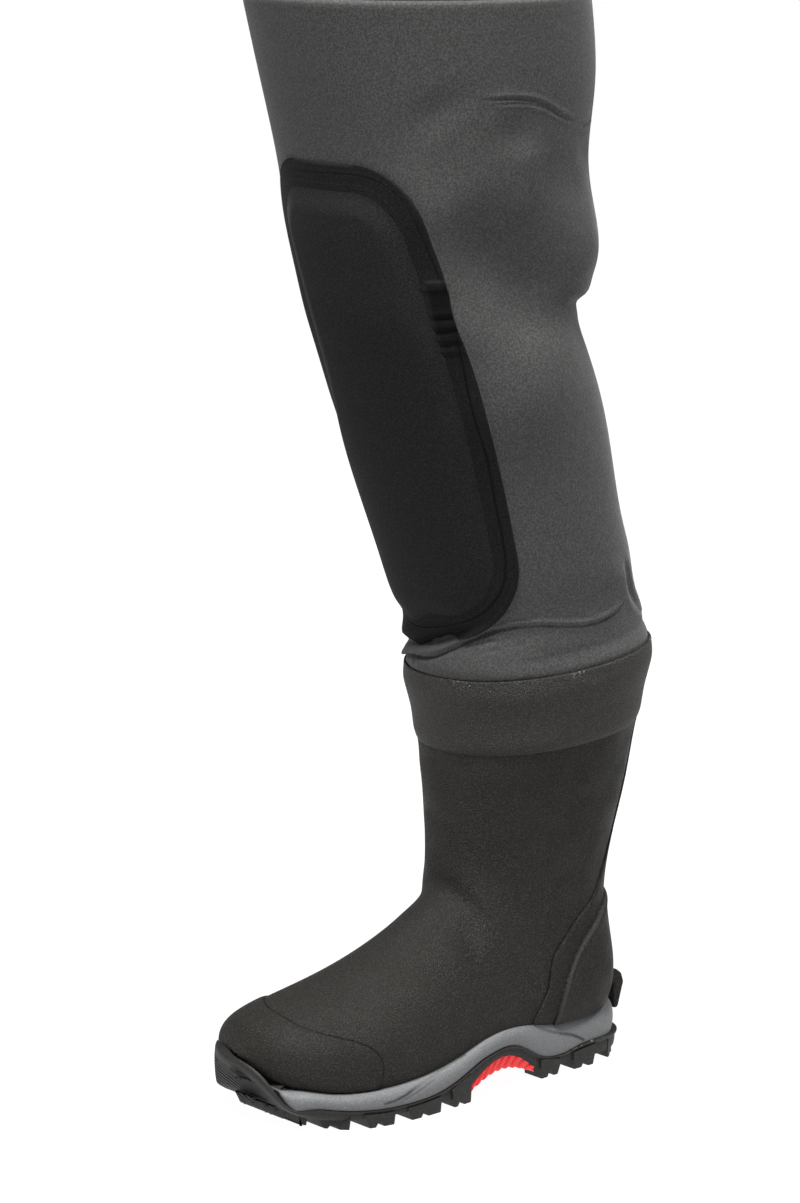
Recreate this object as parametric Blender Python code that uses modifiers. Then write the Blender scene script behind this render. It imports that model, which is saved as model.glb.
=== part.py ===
"""Left leg of a pair of waders: a rubber boot on a lugged sole, and a neoprene leg with a knee pad.

Stations run forward from the back of the heel, sides run out towards the little toe, and heights run
up from the floor. Sizes are in millimetres, and mesh points are turned into metres as they are made.
The origin is on the floor, in the middle of the flat heel lug.
"""

from collections import namedtuple

import bmesh
import bpy
import numpy as np

MM = 0.001

# Past the ends of the boot in every direction, for cutters
FAR = 330.0

# Driving dimensions
LAST_LENGTH = 284.0
BALL_WIDTH = 106.0
INSTEP_HEIGHT = 126.0
HEEL_LIFT = 22.0
BALL_LIFT = 15.0
CUFF_FRONT_HEIGHT = 216.0
CUFF_BACK_HEIGHT = 228.0
RIM_FRONT_HEIGHT = 264.0
RIM_BACK_HEIGHT = 280.0
RUBBER_WALL = 3.0
LEG_WALL = 4.5
LEG_TOP_HEIGHT = 690.0
GAP = 0.3

SOLE_BACK = -4.0
SOLE_FRONT = 287.0
HEEL_ROUND = 42.0
TOE_ROUND = 80.0
HEEL_POWER = 2.3
TOE_POWER = 2.3
LUG_DEPTH = 6.0
LUG_ROOT = 2.5
LUG_DRAW = 1.0
LUG_PROUD = 1.0
TOE_UNDERCUT = 9.0
LUG_UNDERCUT = 25.0
LUG_UNDERCUT_START = 232.0
LUG_UNDERCUT_END = 260.0
TOE_SPRING = 14.0
TOE_SPRING_START = 246.0
HEEL_SPRING = 4.0
HEEL_SPRING_START = 14.0
HEEL_FLARE = 5.0
SIDE_BULGE = 1.0
BELLY_INSET = 0.3
BUMPER_RISE = 13.0
BUMPER_RISE_START = 272.0
BUMPER_PEAK = 282.0
LASTING_MARGIN = 14.0
LASTING_BACK = 18.0
LASTING_FRONT = 254.0
LASTING_TOP = 29.0
INSOLE_THICKNESS = 4.0
INSOLE_BACK = 6.0
INSOLE_FRONT = 270.0
OVERLAY = 1.2
CUFF_THICKNESS = 1.2
CUFF_FOOT = 18.0
CAP_STATION = 258.0
CAP_MIDDLE = 6.0
CAP_OUTER_SWEEP = 62.0
CAP_INNER_SWEEP = 32.0
CAP_POWER = 2.6
STRIP_FOOT = 156.0
STRIP_TOP = 226.0
STRIP_DEPTH = 11.5
SPUR_HALF_WIDTH = 15.0
SPUR_ROUND = 1.5
ARCH_BACK = 84.0
ARCH_FRONT = 143.0
ARCH_RIBS = 8
ARCH_END_HEIGHT = 7.0
ARCH_CROWN = 8.0
ARCH_INSET = 2.5
RIB_DEPTH = 1.2
KNEE_FOOT = 292.0
KNEE_HEAD = 594.0
PATCH_THICKNESS = 1.8
PATCH_CORNER = 40.0
PAD_THICKNESS = 3.0
PAD_FOOT = 14.0
PAD_HEAD = 16.0
PAD_OUTER = 16.0
PAD_INNER = 12.0
PAD_CORNER = 30.0
HEEL_REST_STATION = 34.0
BUMPER_REACH = 273.0

# One row a section of the boot, from the toe tip round the heel and up to the rim. Stations are shares
# of the last's length, half_width is a share of half the ball width, widest is where between back and
# front the section is widest, and the powers square off its instep side and its sole side.
Section = namedtuple(
    "Section",
    "front_station front_height back_station back_height middle half_width widest front_power back_power",
)
BOOT_SECTIONS = [
    Section(0.988, 49.5, 0.988, 39.0, -9.0, 0.20, 0.48, 2.1, 2.1),
    Section(0.973, 57.0, 0.973, 31.0, -9.0, 0.47, 0.46, 2.2, 2.4),
    Section(0.945, 63.0, 0.945, 25.5, -8.5, 0.69, 0.42, 2.3, 2.9),
    Section(0.893, 68.5, 0.893, 20.0, -7.0, 0.88, 0.36, 2.3, 3.6),
    Section(0.820, 74.5, 0.820, 16.5, -4.0, 0.985, 0.32, 2.3, 4.4),
    Section(0.735, 82.5, 0.730, BALL_LIFT, -1.0, 1.01, 0.30, 2.2, 4.8),
    Section(0.650, 93.0, 0.630, BALL_LIFT, 1.0, 0.96, 0.30, 2.1, 4.8),
    Section(0.575, 104.5, 0.520, 17.0, 2.0, 0.88, 0.32, 2.05, 4.4),
    Section(0.511, 115.0, 0.410, 20.0, 2.0, 0.83, 0.36, 2.05, 3.9),
    Section(0.4605, INSTEP_HEIGHT, 0.300, HEEL_LIFT, 1.5, 0.81, 0.40, 2.05, 3.5),
    Section(0.456, 136.0, 0.190, HEEL_LIFT, 1.0, 0.82, 0.44, 2.1, 3.2),
    Section(0.4565, 146.0, 0.090, 23.5, 0.5, 0.83, 0.47, 2.1, 3.0),
    Section(0.4556, 156.0, 0.024, 36.0, 0.0, 0.85, 0.49, 2.1, 2.8),
    Section(0.4551, 166.0, 0.0094, 62.0, 0.0, 0.87, 0.50, 2.1, 2.6),
    Section(0.4544, 173.0, 0.0282, 100.0, 0.0, 0.89, 0.50, 2.1, 2.45),
    Section(0.453, 181.0, 0.0106, 140.0, 0.0, 0.93, 0.50, 2.15, 2.35),
    Section(0.453, 191.0, -0.024, 178.0, 0.0, 1.01, 0.50, 2.15, 2.3),
    Section(0.4515, 202.0, -0.0435, 208.0, 0.0, 1.09, 0.50, 2.2, 2.25),
    Section(0.451, CUFF_FRONT_HEIGHT, -0.056, CUFF_BACK_HEIGHT, 0.0, 1.175, 0.50, 2.2, 2.2),
    Section(0.465, 240.0, -0.0745, 254.5, 0.0, 1.285, 0.50, 2.2, 2.2),
    Section(0.4724, RIM_FRONT_HEIGHT, -0.08, RIM_BACK_HEIGHT, 0.0, 1.33, 0.50, 2.2, 2.2),
]

# The neoprene leg in the same terms, from inside the boot's rim up past the knee; stations and half
# widths are in millimetres here.
LEG_SECTIONS = [
    Section(128.4, 250.0, -17.0, 253.0, 0.0, 64.0, 0.5, 2.2, 2.2),
    Section(130.0, RIM_FRONT_HEIGHT, -18.6, RIM_BACK_HEIGHT, 0.0, 66.6, 0.5, 2.2, 2.2),
    Section(137.0, 276.0, -15.5, 301.0, 0.0, 68.5, 0.5, 2.2, 2.2),
    Section(133.5, 293.0, -7.8, 322.0, 0.0, 69.5, 0.5, 2.2, 2.2),
    Section(140.0, 315.0, -1.0, 345.0, 0.0, 73.0, 0.5, 2.2, 2.2),
    Section(150.0, 342.0, 7.6, 371.0, 0.0, 76.0, 0.5, 2.15, 2.15),
    Section(167.0, 385.0, 16.3, 410.0, 0.0, 79.8, 0.5, 2.1, 2.1),
    Section(184.0, 430.0, 27.7, 447.0, 0.0, 83.3, 0.5, 2.1, 2.1),
    Section(201.0, 476.0, 43.5, 481.0, 0.0, 86.0, 0.5, 2.1, 2.1),
    Section(210.0, 501.0, 46.4, 500.0, 0.0, 87.0, 0.5, 2.1, 2.1),
    Section(216.0, 526.0, 32.5, 526.0, 0.0, 92.0, 0.5, 2.1, 2.1),
    Section(222.0, 556.0, 36.0, 558.0, 0.0, 95.0, 0.5, 2.1, 2.1),
    Section(228.0, 592.0, 42.5, 595.0, 0.0, 96.5, 0.5, 2.1, 2.1),
    Section(240.0, 640.0, 38.1, 640.0, 0.0, 101.0, 0.5, 2.1, 2.1),
    Section(252.0, LEG_TOP_HEIGHT, 43.4, LEG_TOP_HEIGHT, 0.0, 105.0, 0.5, 2.1, 2.1),
]

# Plan of the sole before its ends are rounded off
Plan = namedtuple("Plan", "station middle half_width")
SOLE_PLAN = [
    Plan(-4.0, 0.0, 39.0),
    Plan(34.0, 0.0, 39.0),
    Plan(67.0, 1.0, 40.0),
    Plan(100.0, 2.0, 43.0),
    Plan(143.0, 2.5, 48.5),
    Plan(186.0, 1.5, 55.0),
    Plan(219.0, -1.5, 57.0),
    Plan(253.0, -6.0, 57.0),
    Plan(287.0, -10.0, 57.0),
]

# Side of the sole: heights of the tread between its lugs, of the joint between outsole and midsole,
# and of the midsole's top edge
Side = namedtuple("Side", "station tread joint collar")
SOLE_SIDE = [
    Side(-4.0, 8.0, 15.2, 40.5),
    Side(10.0, LUG_DEPTH, 15.5, 36.5),
    Side(28.0, LUG_DEPTH, 16.5, 33.5),
    Side(42.0, LUG_DEPTH, 15.5, 33.0),
    Side(54.0, LUG_DEPTH, 13.0, 33.0),
    Side(65.0, LUG_DEPTH, 12.5, 33.5),
    Side(76.0, LUG_DEPTH, 14.5, 35.5),
    Side(86.0, 11.0, 19.5, 37.5),
    Side(97.0, 18.5, 25.5, 39.0),
    Side(109.0, 22.5, 28.5, 39.5),
    Side(121.0, 21.5, 27.5, 38.5),
    Side(133.0, 16.5, 25.0, 36.0),
    Side(143.0, 10.5, 21.5, 33.0),
    Side(154.0, LUG_DEPTH, 17.5, 30.0),
    Side(172.0, LUG_DEPTH, 13.0, 26.5),
    Side(195.0, LUG_DEPTH, 11.0, 24.0),
    Side(229.0, LUG_DEPTH, 11.5, 22.5),
    Side(253.0, 7.0, 14.5, 24.0),
    Side(268.0, 9.5, 19.5, 26.0),
    Side(276.0, 14.0, 26.0, 28.0),
    Side(282.0, 20.5, 35.5, 36.5),
    Side(287.0, 29.0, 42.5, 43.5),
]


# Lugs along both edges of the sole, with their depth across it, and lugs in or beside its middle line
Lug = namedtuple("Lug", "first last width offset", defaults=[0.0])
EDGE_LUGS = [
    Lug(2.0, 15.0, 19.0),
    Lug(28.0, 49.0, 19.0),
    Lug(60.0, 79.0, 19.0),
    Lug(144.0, 163.0, 22.0),
    Lug(172.0, 200.0, 24.0),
    Lug(210.0, 231.0, 24.0),
    Lug(239.0, 253.0, 22.0),
]
MIDDLE_LUGS = [
    Lug(6.0, 20.0, 12.0),
    Lug(26.0, 42.0, 26.0),
    Lug(52.0, 66.0, 26.0),
    Lug(152.0, 165.0, 36.0),
    Lug(172.0, 184.0, 40.0),
    Lug(191.0, 206.4, 40.0),
    Lug(214.0, 227.0, 40.0),
    Lug(235.0, 247.0, 40.0),
    Lug(255.0, 262.5, 32.0, 16.5),
    Lug(255.0, 262.5, 24.0, -14.5),
]

# Edges of the heel pieces seen from the side, from the midsole up to the back of the boot
Edge = namedtuple("Edge", "station height")
BACKSTAY_EDGE = [
    Edge(87, 20),
    Edge(86.5, 36),
    Edge(80, 49.5),
    Edge(74.8, 60),
    Edge(71.5, 78),
    Edge(63, 90.5),
    Edge(52.5, 102.5),
    Edge(35, 116),
    Edge(24, 132),
]
COUNTER_EDGE = [
    Edge(69, 20),
    Edge(67, 34),
    Edge(62.5, 56.5),
    Edge(57.3, 71),
    Edge(52, 82),
    Edge(39.5, 96),
    Edge(24, 107.5),
    Edge(-5, 119),
]
SPUR_PROFILE = [
    Edge(-9.5, 25),
    Edge(-14.5, 42),
    Edge(-12.5, 48),
    Edge(-8, 51.5),
    Edge(8, 51.5),
    Edge(8, 42),
    Edge(-5.8, 42),
    Edge(-5.8, 25),
]

# Edges of the knee panel, as angles round the leg at heights of its front
Knee = namedtuple("Knee", "height outer inner")
KNEE_EDGE = [
    Knee(285.0, 34.0, 143.0),
    Knee(340.0, 33.0, 143.0),
    Knee(400.0, 31.9, 138.0),
    Knee(450.0, 31.9, 124.0),
    Knee(484.0, 33.0, 119.0),
    Knee(518.0, 38.0, 119.0),
    Knee(545.0, 43.0, 121.0),
    Knee(585.0, 46.5, 124.0),
]


def spline(knots, values, at):
    """Natural cubic spline through the values at the knots, read at the given places."""
    knots, values, at = (np.asarray(v, float) for v in (knots, values, at))
    gap = np.diff(knots)
    slope = np.diff(values) / gap
    matrix = np.eye(len(knots))
    bend = np.zeros(len(knots))
    for i in range(1, len(knots) - 1):
        matrix[i, i - 1 : i + 2] = gap[i - 1], 2 * (gap[i - 1] + gap[i]), gap[i]
        bend[i] = 6 * (slope[i] - slope[i - 1])
    bend = np.linalg.solve(matrix, bend)
    i = np.clip(np.searchsorted(knots, at) - 1, 0, len(gap) - 1)
    a = (knots[i + 1] - at) / gap[i]
    b = (at - knots[i]) / gap[i]
    curve = ((a**3 - a) * bend[i] + (b**3 - b) * bend[i + 1]) * gap[i] ** 2 / 6
    return a * values[i] + b * values[i + 1] + curve


def column(table, name):
    return np.array([getattr(row, name) for row in table])


def read(table, name, station):
    """A column of a table that is keyed by its stations."""
    return spline(column(table, "station"), column(table, name), station)


def section_point(table, length, width, place, angle):
    """Points of a form lofted through a table's sections. place counts the rows; angle is 0 at the
    outer side, 90 at the front, 180 at the inner side and 270 at the sole or the back."""
    place, angle = np.broadcast_arrays(np.asarray(place, float), np.asarray(angle, float))
    row = {name: spline(np.arange(len(table)), column(table, name), place) for name in Section._fields}
    out = np.cos(np.radians(angle))
    fore = np.sin(np.radians(angle))
    power = 2 / np.where(fore >= 0, row["front_power"], row["back_power"])
    reach = np.where(fore >= 0, 1 - row["widest"], row["widest"])
    share = row["widest"] + np.sign(fore) * np.abs(fore) ** power * reach
    side = row["middle"] + row["half_width"] * width * np.sign(out) * np.abs(out) ** power
    station = (row["back_station"] + share * (row["front_station"] - row["back_station"])) * length
    height = row["back_height"] + share * (row["front_height"] - row["back_height"])
    return np.stack([station, side, height], axis=-1)


def boot_point(place, angle):
    return section_point(BOOT_SECTIONS, LAST_LENGTH, BALL_WIDTH / 2, place, angle)


def leg_point(place, angle):
    return section_point(LEG_SECTIONS, 1.0, 1.0, place, angle)


def lifted(form, place, angle, lift):
    """Points of a form moved out along its normal."""
    step = 0.02
    along = form(place + step, angle) - form(place - step, angle)
    around = form(place, angle + 20 * step) - form(place, angle - 20 * step)
    normal = np.cross(along, around)
    normal /= np.linalg.norm(normal, axis=-1, keepdims=True)
    return form(place, angle) + lift * normal


def grid(places, angles):
    return np.meshgrid(places, angles, indexing="ij")


def world(points):
    """Millimetres from the back of the heel, as metres from the origin."""
    return (np.asarray(points, float) - (HEEL_REST_STATION, 0.0, 0.0)) * MM


def sole_edges(station):
    """Inner and outer edge of the sole at a station."""
    half = read(SOLE_PLAN, "half_width", station)
    heel = np.clip((SOLE_BACK + HEEL_ROUND - station) / HEEL_ROUND, 0, 1)
    toe = np.clip((station - SOLE_FRONT + TOE_ROUND) / TOE_ROUND, 0, 1)
    half = half * (1 - heel**HEEL_POWER) ** (1 / HEEL_POWER) * (1 - toe**TOE_POWER) ** (1 / TOE_POWER)
    middle = read(SOLE_PLAN, "middle", station)
    return middle - half, middle + half


def sole_stations():
    """Stations of the sole's sections, close together round the heel, in the arch and at the toe."""
    heel = SOLE_BACK + HEEL_ROUND * (1 - np.cos(np.radians([10, 22, 38, 55, 72, 90])))
    middle = np.concatenate([np.arange(50, 78, 13), np.arange(80, 148, 6.2), np.arange(155, 210, 17)])
    toe = SOLE_FRONT - TOE_ROUND * (1 - np.sin(np.radians([6, 20, 34, 46, 53, 60, 67, 74, 81])))
    return np.concatenate([heel, middle, toe])


def new_object(name, points, faces, collection, material=None):
    mesh = bpy.data.meshes.new(name)
    mesh.from_pydata([tuple(p) for p in world(points)], [], faces)
    if material:
        mesh.materials.append(material)
    thing = bpy.data.objects.new(name, mesh)
    collection.objects.link(thing)
    return thing


def turn_out(thing):
    """Face a closed mesh outwards."""
    body = bmesh.new()
    body.from_mesh(thing.data)
    bmesh.ops.recalc_face_normals(body, faces=body.faces)
    body.to_mesh(thing.data)
    body.free()
    return thing


def loft(name, rings, collection, material=None, caps=(True, True), closed=True):
    """Skin over a stack of rings. closed joins each ring's last point to its first, and caps fill the
    first and last ring."""
    rings = np.asarray(rings)
    count, size = rings.shape[:2]
    spans = size if closed else size - 1
    faces = []
    for i in range(count - 1):
        for j in range(spans):
            k = (j + 1) % size
            faces.append((i * size + j, (i + 1) * size + j, (i + 1) * size + k, i * size + k))
    if caps[0]:
        faces.append(tuple(range(size)))
    if caps[1]:
        faces.append(tuple(reversed(range((count - 1) * size, count * size))))
    thing = new_object(name, rings.reshape(-1, 3), faces, collection, material)
    return turn_out(thing) if all(caps) else thing


def shell(thing, thickness):
    """Give an open surface a wall inwards."""
    wall = thing.modifiers.new("wall", "SOLIDIFY")
    wall.thickness = thickness * MM
    wall.offset = -1.0
    wall.use_even_offset = True
    return thing


def boolean(thing, operation, cutter, solver="EXACT"):
    step = thing.modifiers.new(cutter.name, "BOOLEAN")
    step.operation = operation
    step.solver = solver
    step.object = cutter
    return thing


def prism(name, outline, axis, low, high, collection):
    """Straight prism over an outline of points in the plane across the axis."""
    outline = np.asarray(outline, float)
    ends = [np.insert(outline, axis, level, axis=1) for level in (low, high)]
    return loft(name, ends, collection)


def paint(name, colour, roughness):
    material = bpy.data.materials.new(name)
    material.use_nodes = True
    shader = material.node_tree.nodes["Principled BSDF"]
    shader.inputs["Base Color"].default_value = (*colour, 1.0)
    shader.inputs["Roughness"].default_value = roughness
    shader.inputs["Metallic"].default_value = 0.0
    return material


for old in list(bpy.data.objects):
    bpy.data.objects.remove(old, do_unlink=True)

PARTS = bpy.data.collections.new("wader_leg")
CUTTERS = bpy.data.collections.new("cutters")
for group in (PARTS, CUTTERS):
    bpy.context.scene.collection.children.link(group)

RUBBER = paint("boot_rubber", (0.028, 0.027, 0.026), 0.6)
TREAD_RUBBER = paint("tread_rubber", (0.020, 0.019, 0.018), 0.7)
FOAM = paint("midsole_foam", (0.19, 0.195, 0.2), 0.55)
RED_PLASTIC = paint("red_plastic", (0.8, 0.03, 0.035), 0.4)
NEOPRENE = paint("neoprene", (0.068, 0.068, 0.07), 0.8)
PAD_CLOTH = paint("pad_cloth", (0.016, 0.016, 0.017), 0.85)
FOOTBED_FOAM = paint("footbed_foam", (0.1, 0.1, 0.1), 0.9)

ANGLES = np.arange(0, 360, 11.25)
BOOT_PLACES = np.concatenate([np.arange(0, 3, 0.75), np.arange(3, CUFF_FOOT), [CUFF_FOOT, 18.6, 19.3, 20.0]])
LEG_PLACES = np.arange(len(LEG_SECTIONS))
TOE_PLACES = BOOT_PLACES[BOOT_PLACES < 6.5]
HEEL_PLACES = BOOT_PLACES[(BOOT_PLACES >= 9.0) & (BOOT_PLACES <= CUFF_FOOT)]
HEEL_ANGLES = np.arange(180, 361, 11.25)
CUFF_PLACES = BOOT_PLACES[BOOT_PLACES >= CUFF_FOOT]
KNEE_PLACES = LEG_PLACES[1:14]
KNEE_ANGLES = np.arange(11.25, 170, 11.25)


def boot_form(name, lift, last_place):
    """Closed form of the boot as far up as a section, as a cutter."""
    places = BOOT_PLACES[BOOT_PLACES <= last_place]
    return loft(name, lifted(boot_point, *grid(places, ANGLES), lift), CUTTERS)


def patch(name, form, places, angles, low, high, material, closed=False, toe=False):
    """Sheet that lies on a form, from one lift above it to another."""
    points = lifted(form, places, angles, high)
    sheet = loft(name, points, PARTS, material, caps=(toe, False), closed=closed)
    return shell(sheet, high - low)


def ground(station):
    """Height of the lugs' feet: flat on the floor but for the toe spring and the back of the heel."""
    toe = np.clip((station - TOE_SPRING_START) / (SOLE_FRONT - TOE_SPRING_START), 0, 1)
    heel = np.clip((HEEL_SPRING_START - station) / (HEEL_SPRING_START - SOLE_BACK), 0, 1)
    return TOE_SPRING * toe**2 + HEEL_SPRING * heel**2


def lug_points(lug, middle):
    """Eight corners of a lug, narrower at its foot; middle gives its middle line at a station."""
    corners = []
    for foot in (True, False):
        draw = LUG_DRAW if foot else 0.0
        for station in (lug.first + draw, lug.last - draw):
            height = ground(station) if foot else read(SOLE_SIDE, "tread", station) + LUG_ROOT
            for side in (draw - lug.width / 2, lug.width / 2 - draw):
                corners.append((station, middle(station) + side, height))
    return corners


def lug_edges(station):
    """Inner and outer sides of the lugs at a station, drawn in under the toe."""
    inner, outer = sole_edges(station)
    toe = np.clip((station - LUG_UNDERCUT_START) / (LUG_UNDERCUT_END - LUG_UNDERCUT_START), 0, 1)
    inset = LUG_UNDERCUT * toe**2 - LUG_PROUD
    return inner + inset, outer - inset


def make_lugs():
    """All the lugs, in one mesh of separate blocks."""
    box = [(0, 1, 3, 2), (4, 6, 7, 5), (0, 4, 5, 1), (2, 3, 7, 6), (0, 2, 6, 4), (1, 5, 7, 3)]
    blocks = []
    for lug in EDGE_LUGS:
        blocks.append(lug_points(lug, lambda s: lug_edges(s)[1] - lug.width / 2))
        blocks.append(lug_points(lug, lambda s: lug_edges(s)[0] + lug.width / 2))
    for lug in MIDDLE_LUGS:
        blocks.append(lug_points(lug, lambda s: sum(lug_edges(s)) / 2 + lug.offset))
    faces = [tuple(8 * i + k for k in face) for i in range(len(blocks)) for face in box]
    lugs = new_object("lugs", np.concatenate(blocks), faces, CUTTERS)
    return turn_out(lugs)


def make_upper():
    upper = loft("upper", boot_point(*grid(BOOT_PLACES, ANGLES)), PARTS, RUBBER, caps=(True, False))
    shell(upper, RUBBER_WALL)
    stations = np.linspace(LASTING_BACK, LASTING_FRONT, 14)
    inner, outer = sole_edges(stations)
    outer_side = np.stack([stations, outer - LASTING_MARGIN], 1)
    inner_side = np.stack([stations, inner + LASTING_MARGIN], 1)
    edge = np.concatenate([outer_side, inner_side[::-1]])
    opening = prism("last_opening", edge, 2, 0.0, LASTING_TOP, CUTTERS)
    return boolean(upper, "DIFFERENCE", opening)


def undercut(station):
    """How far the tread's edge is drawn in under the toe."""
    toe = np.clip((station - SOLE_FRONT + TOE_ROUND) / TOE_ROUND, 0, 1)
    return TOE_UNDERCUT * toe**2


def bumper_rise(station):
    """How much higher the toe bumper reaches on its inner side than on its outer side."""
    climb = np.clip((station - BUMPER_RISE_START) / (BUMPER_PEAK - BUMPER_RISE_START), 0, 1)
    fall = np.clip((SOLE_FRONT - station) / (SOLE_FRONT - BUMPER_PEAK), 0, 1)
    return BUMPER_RISE * climb * fall


def sole_loft(name, stations, low, high, rise, bulge, flare, inset, material):
    """Piece of the sole between two heights; rise is how much higher its inner side is, bulge how far
    the middle of its side stands out, flare how far it is drawn out at the back of the heel, and inset
    how far its foot is drawn in."""
    inner, outer = sole_edges(stations)
    inset = np.minimum(inset, 0.4 * (outer - inner))
    stations = stations - flare * np.clip((SOLE_BACK + HEEL_ROUND - stations) / HEEL_ROUND, 0, 1)
    belly = bulge - BELLY_INSET * inset
    rings = []
    for i, station in enumerate(stations):
        middle = 0.6 * low[i] + 0.4 * high[i]
        corners = [
            (inner[i] + inset[i], low[i]),
            (outer[i] - inset[i], low[i]),
            (outer[i] + belly[i], middle),
            (outer[i], high[i]),
            (inner[i], high[i] + rise[i]),
            (inner[i] - belly[i], middle),
        ]
        rings.append([(station, side, height) for side, height in corners])
    return loft(name, rings, PARTS, material)


def make_outsole(boot_space):
    stations = sole_stations()
    low = read(SOLE_SIDE, "tread", stations)
    high = read(SOLE_SIDE, "joint", stations)
    inset = undercut(stations)
    rise = bumper_rise(stations)
    outsole = sole_loft("outsole", stations, low, high, rise, SIDE_BULGE / 2, HEEL_FLARE, inset, TREAD_RUBBER)
    boolean(outsole, "UNION", make_lugs())
    return boolean(outsole, "DIFFERENCE", boot_space)


def make_midsole(boot_space):
    stations = sole_stations()
    stations = stations[stations < BUMPER_REACH]
    low = read(SOLE_SIDE, "joint", stations) + GAP
    high = read(SOLE_SIDE, "collar", stations)
    flat = np.zeros(len(stations))
    midsole = sole_loft("midsole", stations, low, high, flat, SIDE_BULGE, 0.0, flat, FOAM)
    return boolean(midsole, "DIFFERENCE", boot_space)


def make_arch_insert():
    """Ribbed bridge under the arch, a lens from the side, with its ribs running across the foot."""
    share = np.linspace(0, 1, 4 * ARCH_RIBS + 1)
    stations = ARCH_BACK + share * (ARCH_FRONT - ARCH_BACK)
    rib = np.abs(np.sin(np.pi * ARCH_RIBS * share))
    inner, outer = sole_edges(stations)
    top = read(SOLE_SIDE, "tread", stations) - 2 * GAP
    bottom = ARCH_END_HEIGHT + ARCH_CROWN * np.sin(np.pi * share) - RIB_DEPTH * rib
    inset = ARCH_INSET - RIB_DEPTH * rib
    rings = []
    for i, station in enumerate(stations):
        low, high = inner[i] + inset[i], outer[i] - inset[i]
        corners = [(low, bottom[i]), (high, bottom[i]), (high, top[i]), (low, top[i])]
        rings.append([(station, side, height) for side, height in corners])
    return loft("arch_insert", rings, PARTS, RED_PLASTIC)


def sole_line(station):
    """Height of the upper's underside at a station."""
    rows = BOOT_SECTIONS[11:0:-1]
    stations = LAST_LENGTH * column(rows, "back_station")
    return spline(stations, column(rows, "back_height"), station)


def make_insole():
    stations = np.linspace(INSOLE_BACK, INSOLE_FRONT, 15)
    top = sole_line(stations) + RUBBER_WALL + GAP + INSOLE_THICKNESS
    rings = []
    for station, height in zip(stations, top):
        corners = [(-BALL_WIDTH, 0.0), (BALL_WIDTH, 0.0), (BALL_WIDTH, height), (-BALL_WIDTH, height)]
        rings.append([(station, side, z) for side, z in corners])
    insole = loft("insole", rings, PARTS, FOOTBED_FOAM)
    inside = boot_form("inside_space", -RUBBER_WALL - GAP, 16.0)
    return boolean(insole, "INTERSECT", inside)


def below_collar():
    """All that lies below the top edge of the midsole and of the toe bumper."""
    stations = np.concatenate([[-FAR], sole_stations(), [FAR]])
    clipped = np.clip(stations, SOLE_BACK, SOLE_FRONT)
    top = np.maximum(read(SOLE_SIDE, "collar", clipped), read(SOLE_SIDE, "joint", clipped)) + GAP
    inner, outer = sole_edges(clipped)
    inner_top = top + bumper_rise(clipped)
    rings = []
    for i, station in enumerate(stations):
        corners = [
            (-BALL_WIDTH, 0.0),
            (BALL_WIDTH, 0.0),
            (BALL_WIDTH, top[i]),
            (outer[i], top[i]),
            (inner[i], inner_top[i]),
            (-BALL_WIDTH, inner_top[i]),
        ]
        rings.append([(station, side, z) for side, z in corners])
    return loft("below_collar", rings, CUTTERS)


def make_toe_cap(below):
    places, angles = grid(TOE_PLACES, ANGLES)
    cap = patch("toe_cap", boot_point, places, angles, GAP, GAP + OVERLAY, RUBBER, closed=True, toe=True)
    side = np.linspace(-1.2, 1.2, 17) * BALL_WIDTH / 2
    sweep = np.where(side > CAP_MIDDLE, CAP_OUTER_SWEEP, CAP_INNER_SWEEP)
    edge = CAP_STATION - sweep * np.abs((side - CAP_MIDDLE) / (BALL_WIDTH / 2)) ** CAP_POWER
    outline = np.concatenate([np.stack([edge, side], 1), [(FAR, BALL_WIDTH), (FAR, -BALL_WIDTH)]])
    boolean(cap, "INTERSECT", prism("cap_outline", outline, 2, 0.0, FAR, CUTTERS), "MANIFOLD")
    return boolean(cap, "DIFFERENCE", below, "MANIFOLD")


def heel_line(height):
    """Station of the back of the boot at a height."""
    rows = BOOT_SECTIONS[12:]
    return LAST_LENGTH * spline(column(rows, "back_height"), column(rows, "back_station"), height)


def make_backstay(below):
    """Band round the heel that runs on up the back of the shaft as a strip."""
    places, angles = grid(HEEL_PLACES, HEEL_ANGLES)
    backstay = patch("backstay", boot_point, places, angles, GAP, GAP + OVERLAY, RUBBER)
    strip_heights = np.linspace(STRIP_FOOT, STRIP_TOP, 5)
    strip = np.stack([heel_line(strip_heights) + STRIP_DEPTH, strip_heights], 1)
    behind = [(-FAR, STRIP_TOP), (-FAR, BACKSTAY_EDGE[0].height)]
    outline = np.concatenate([BACKSTAY_EDGE, strip, behind])
    boolean(backstay, "INTERSECT", prism("backstay_outline", outline, 1, -FAR, FAR, CUTTERS))
    return boolean(backstay, "DIFFERENCE", below, "MANIFOLD")


def make_heel_counter(below):
    """Raised panel on the band round the heel."""
    places, angles = grid(HEEL_PLACES[:10], HEEL_ANGLES)
    low = 2 * GAP + OVERLAY
    counter = patch("heel_counter", boot_point, places, angles, low, low + OVERLAY, RUBBER)
    behind = [(-FAR, COUNTER_EDGE[-1].height), (-FAR, COUNTER_EDGE[0].height)]
    outline = np.concatenate([COUNTER_EDGE, behind])
    boolean(counter, "INTERSECT", prism("counter_outline", outline, 1, -FAR, FAR, CUTTERS))
    return boolean(counter, "DIFFERENCE", below, "MANIFOLD")


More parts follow.
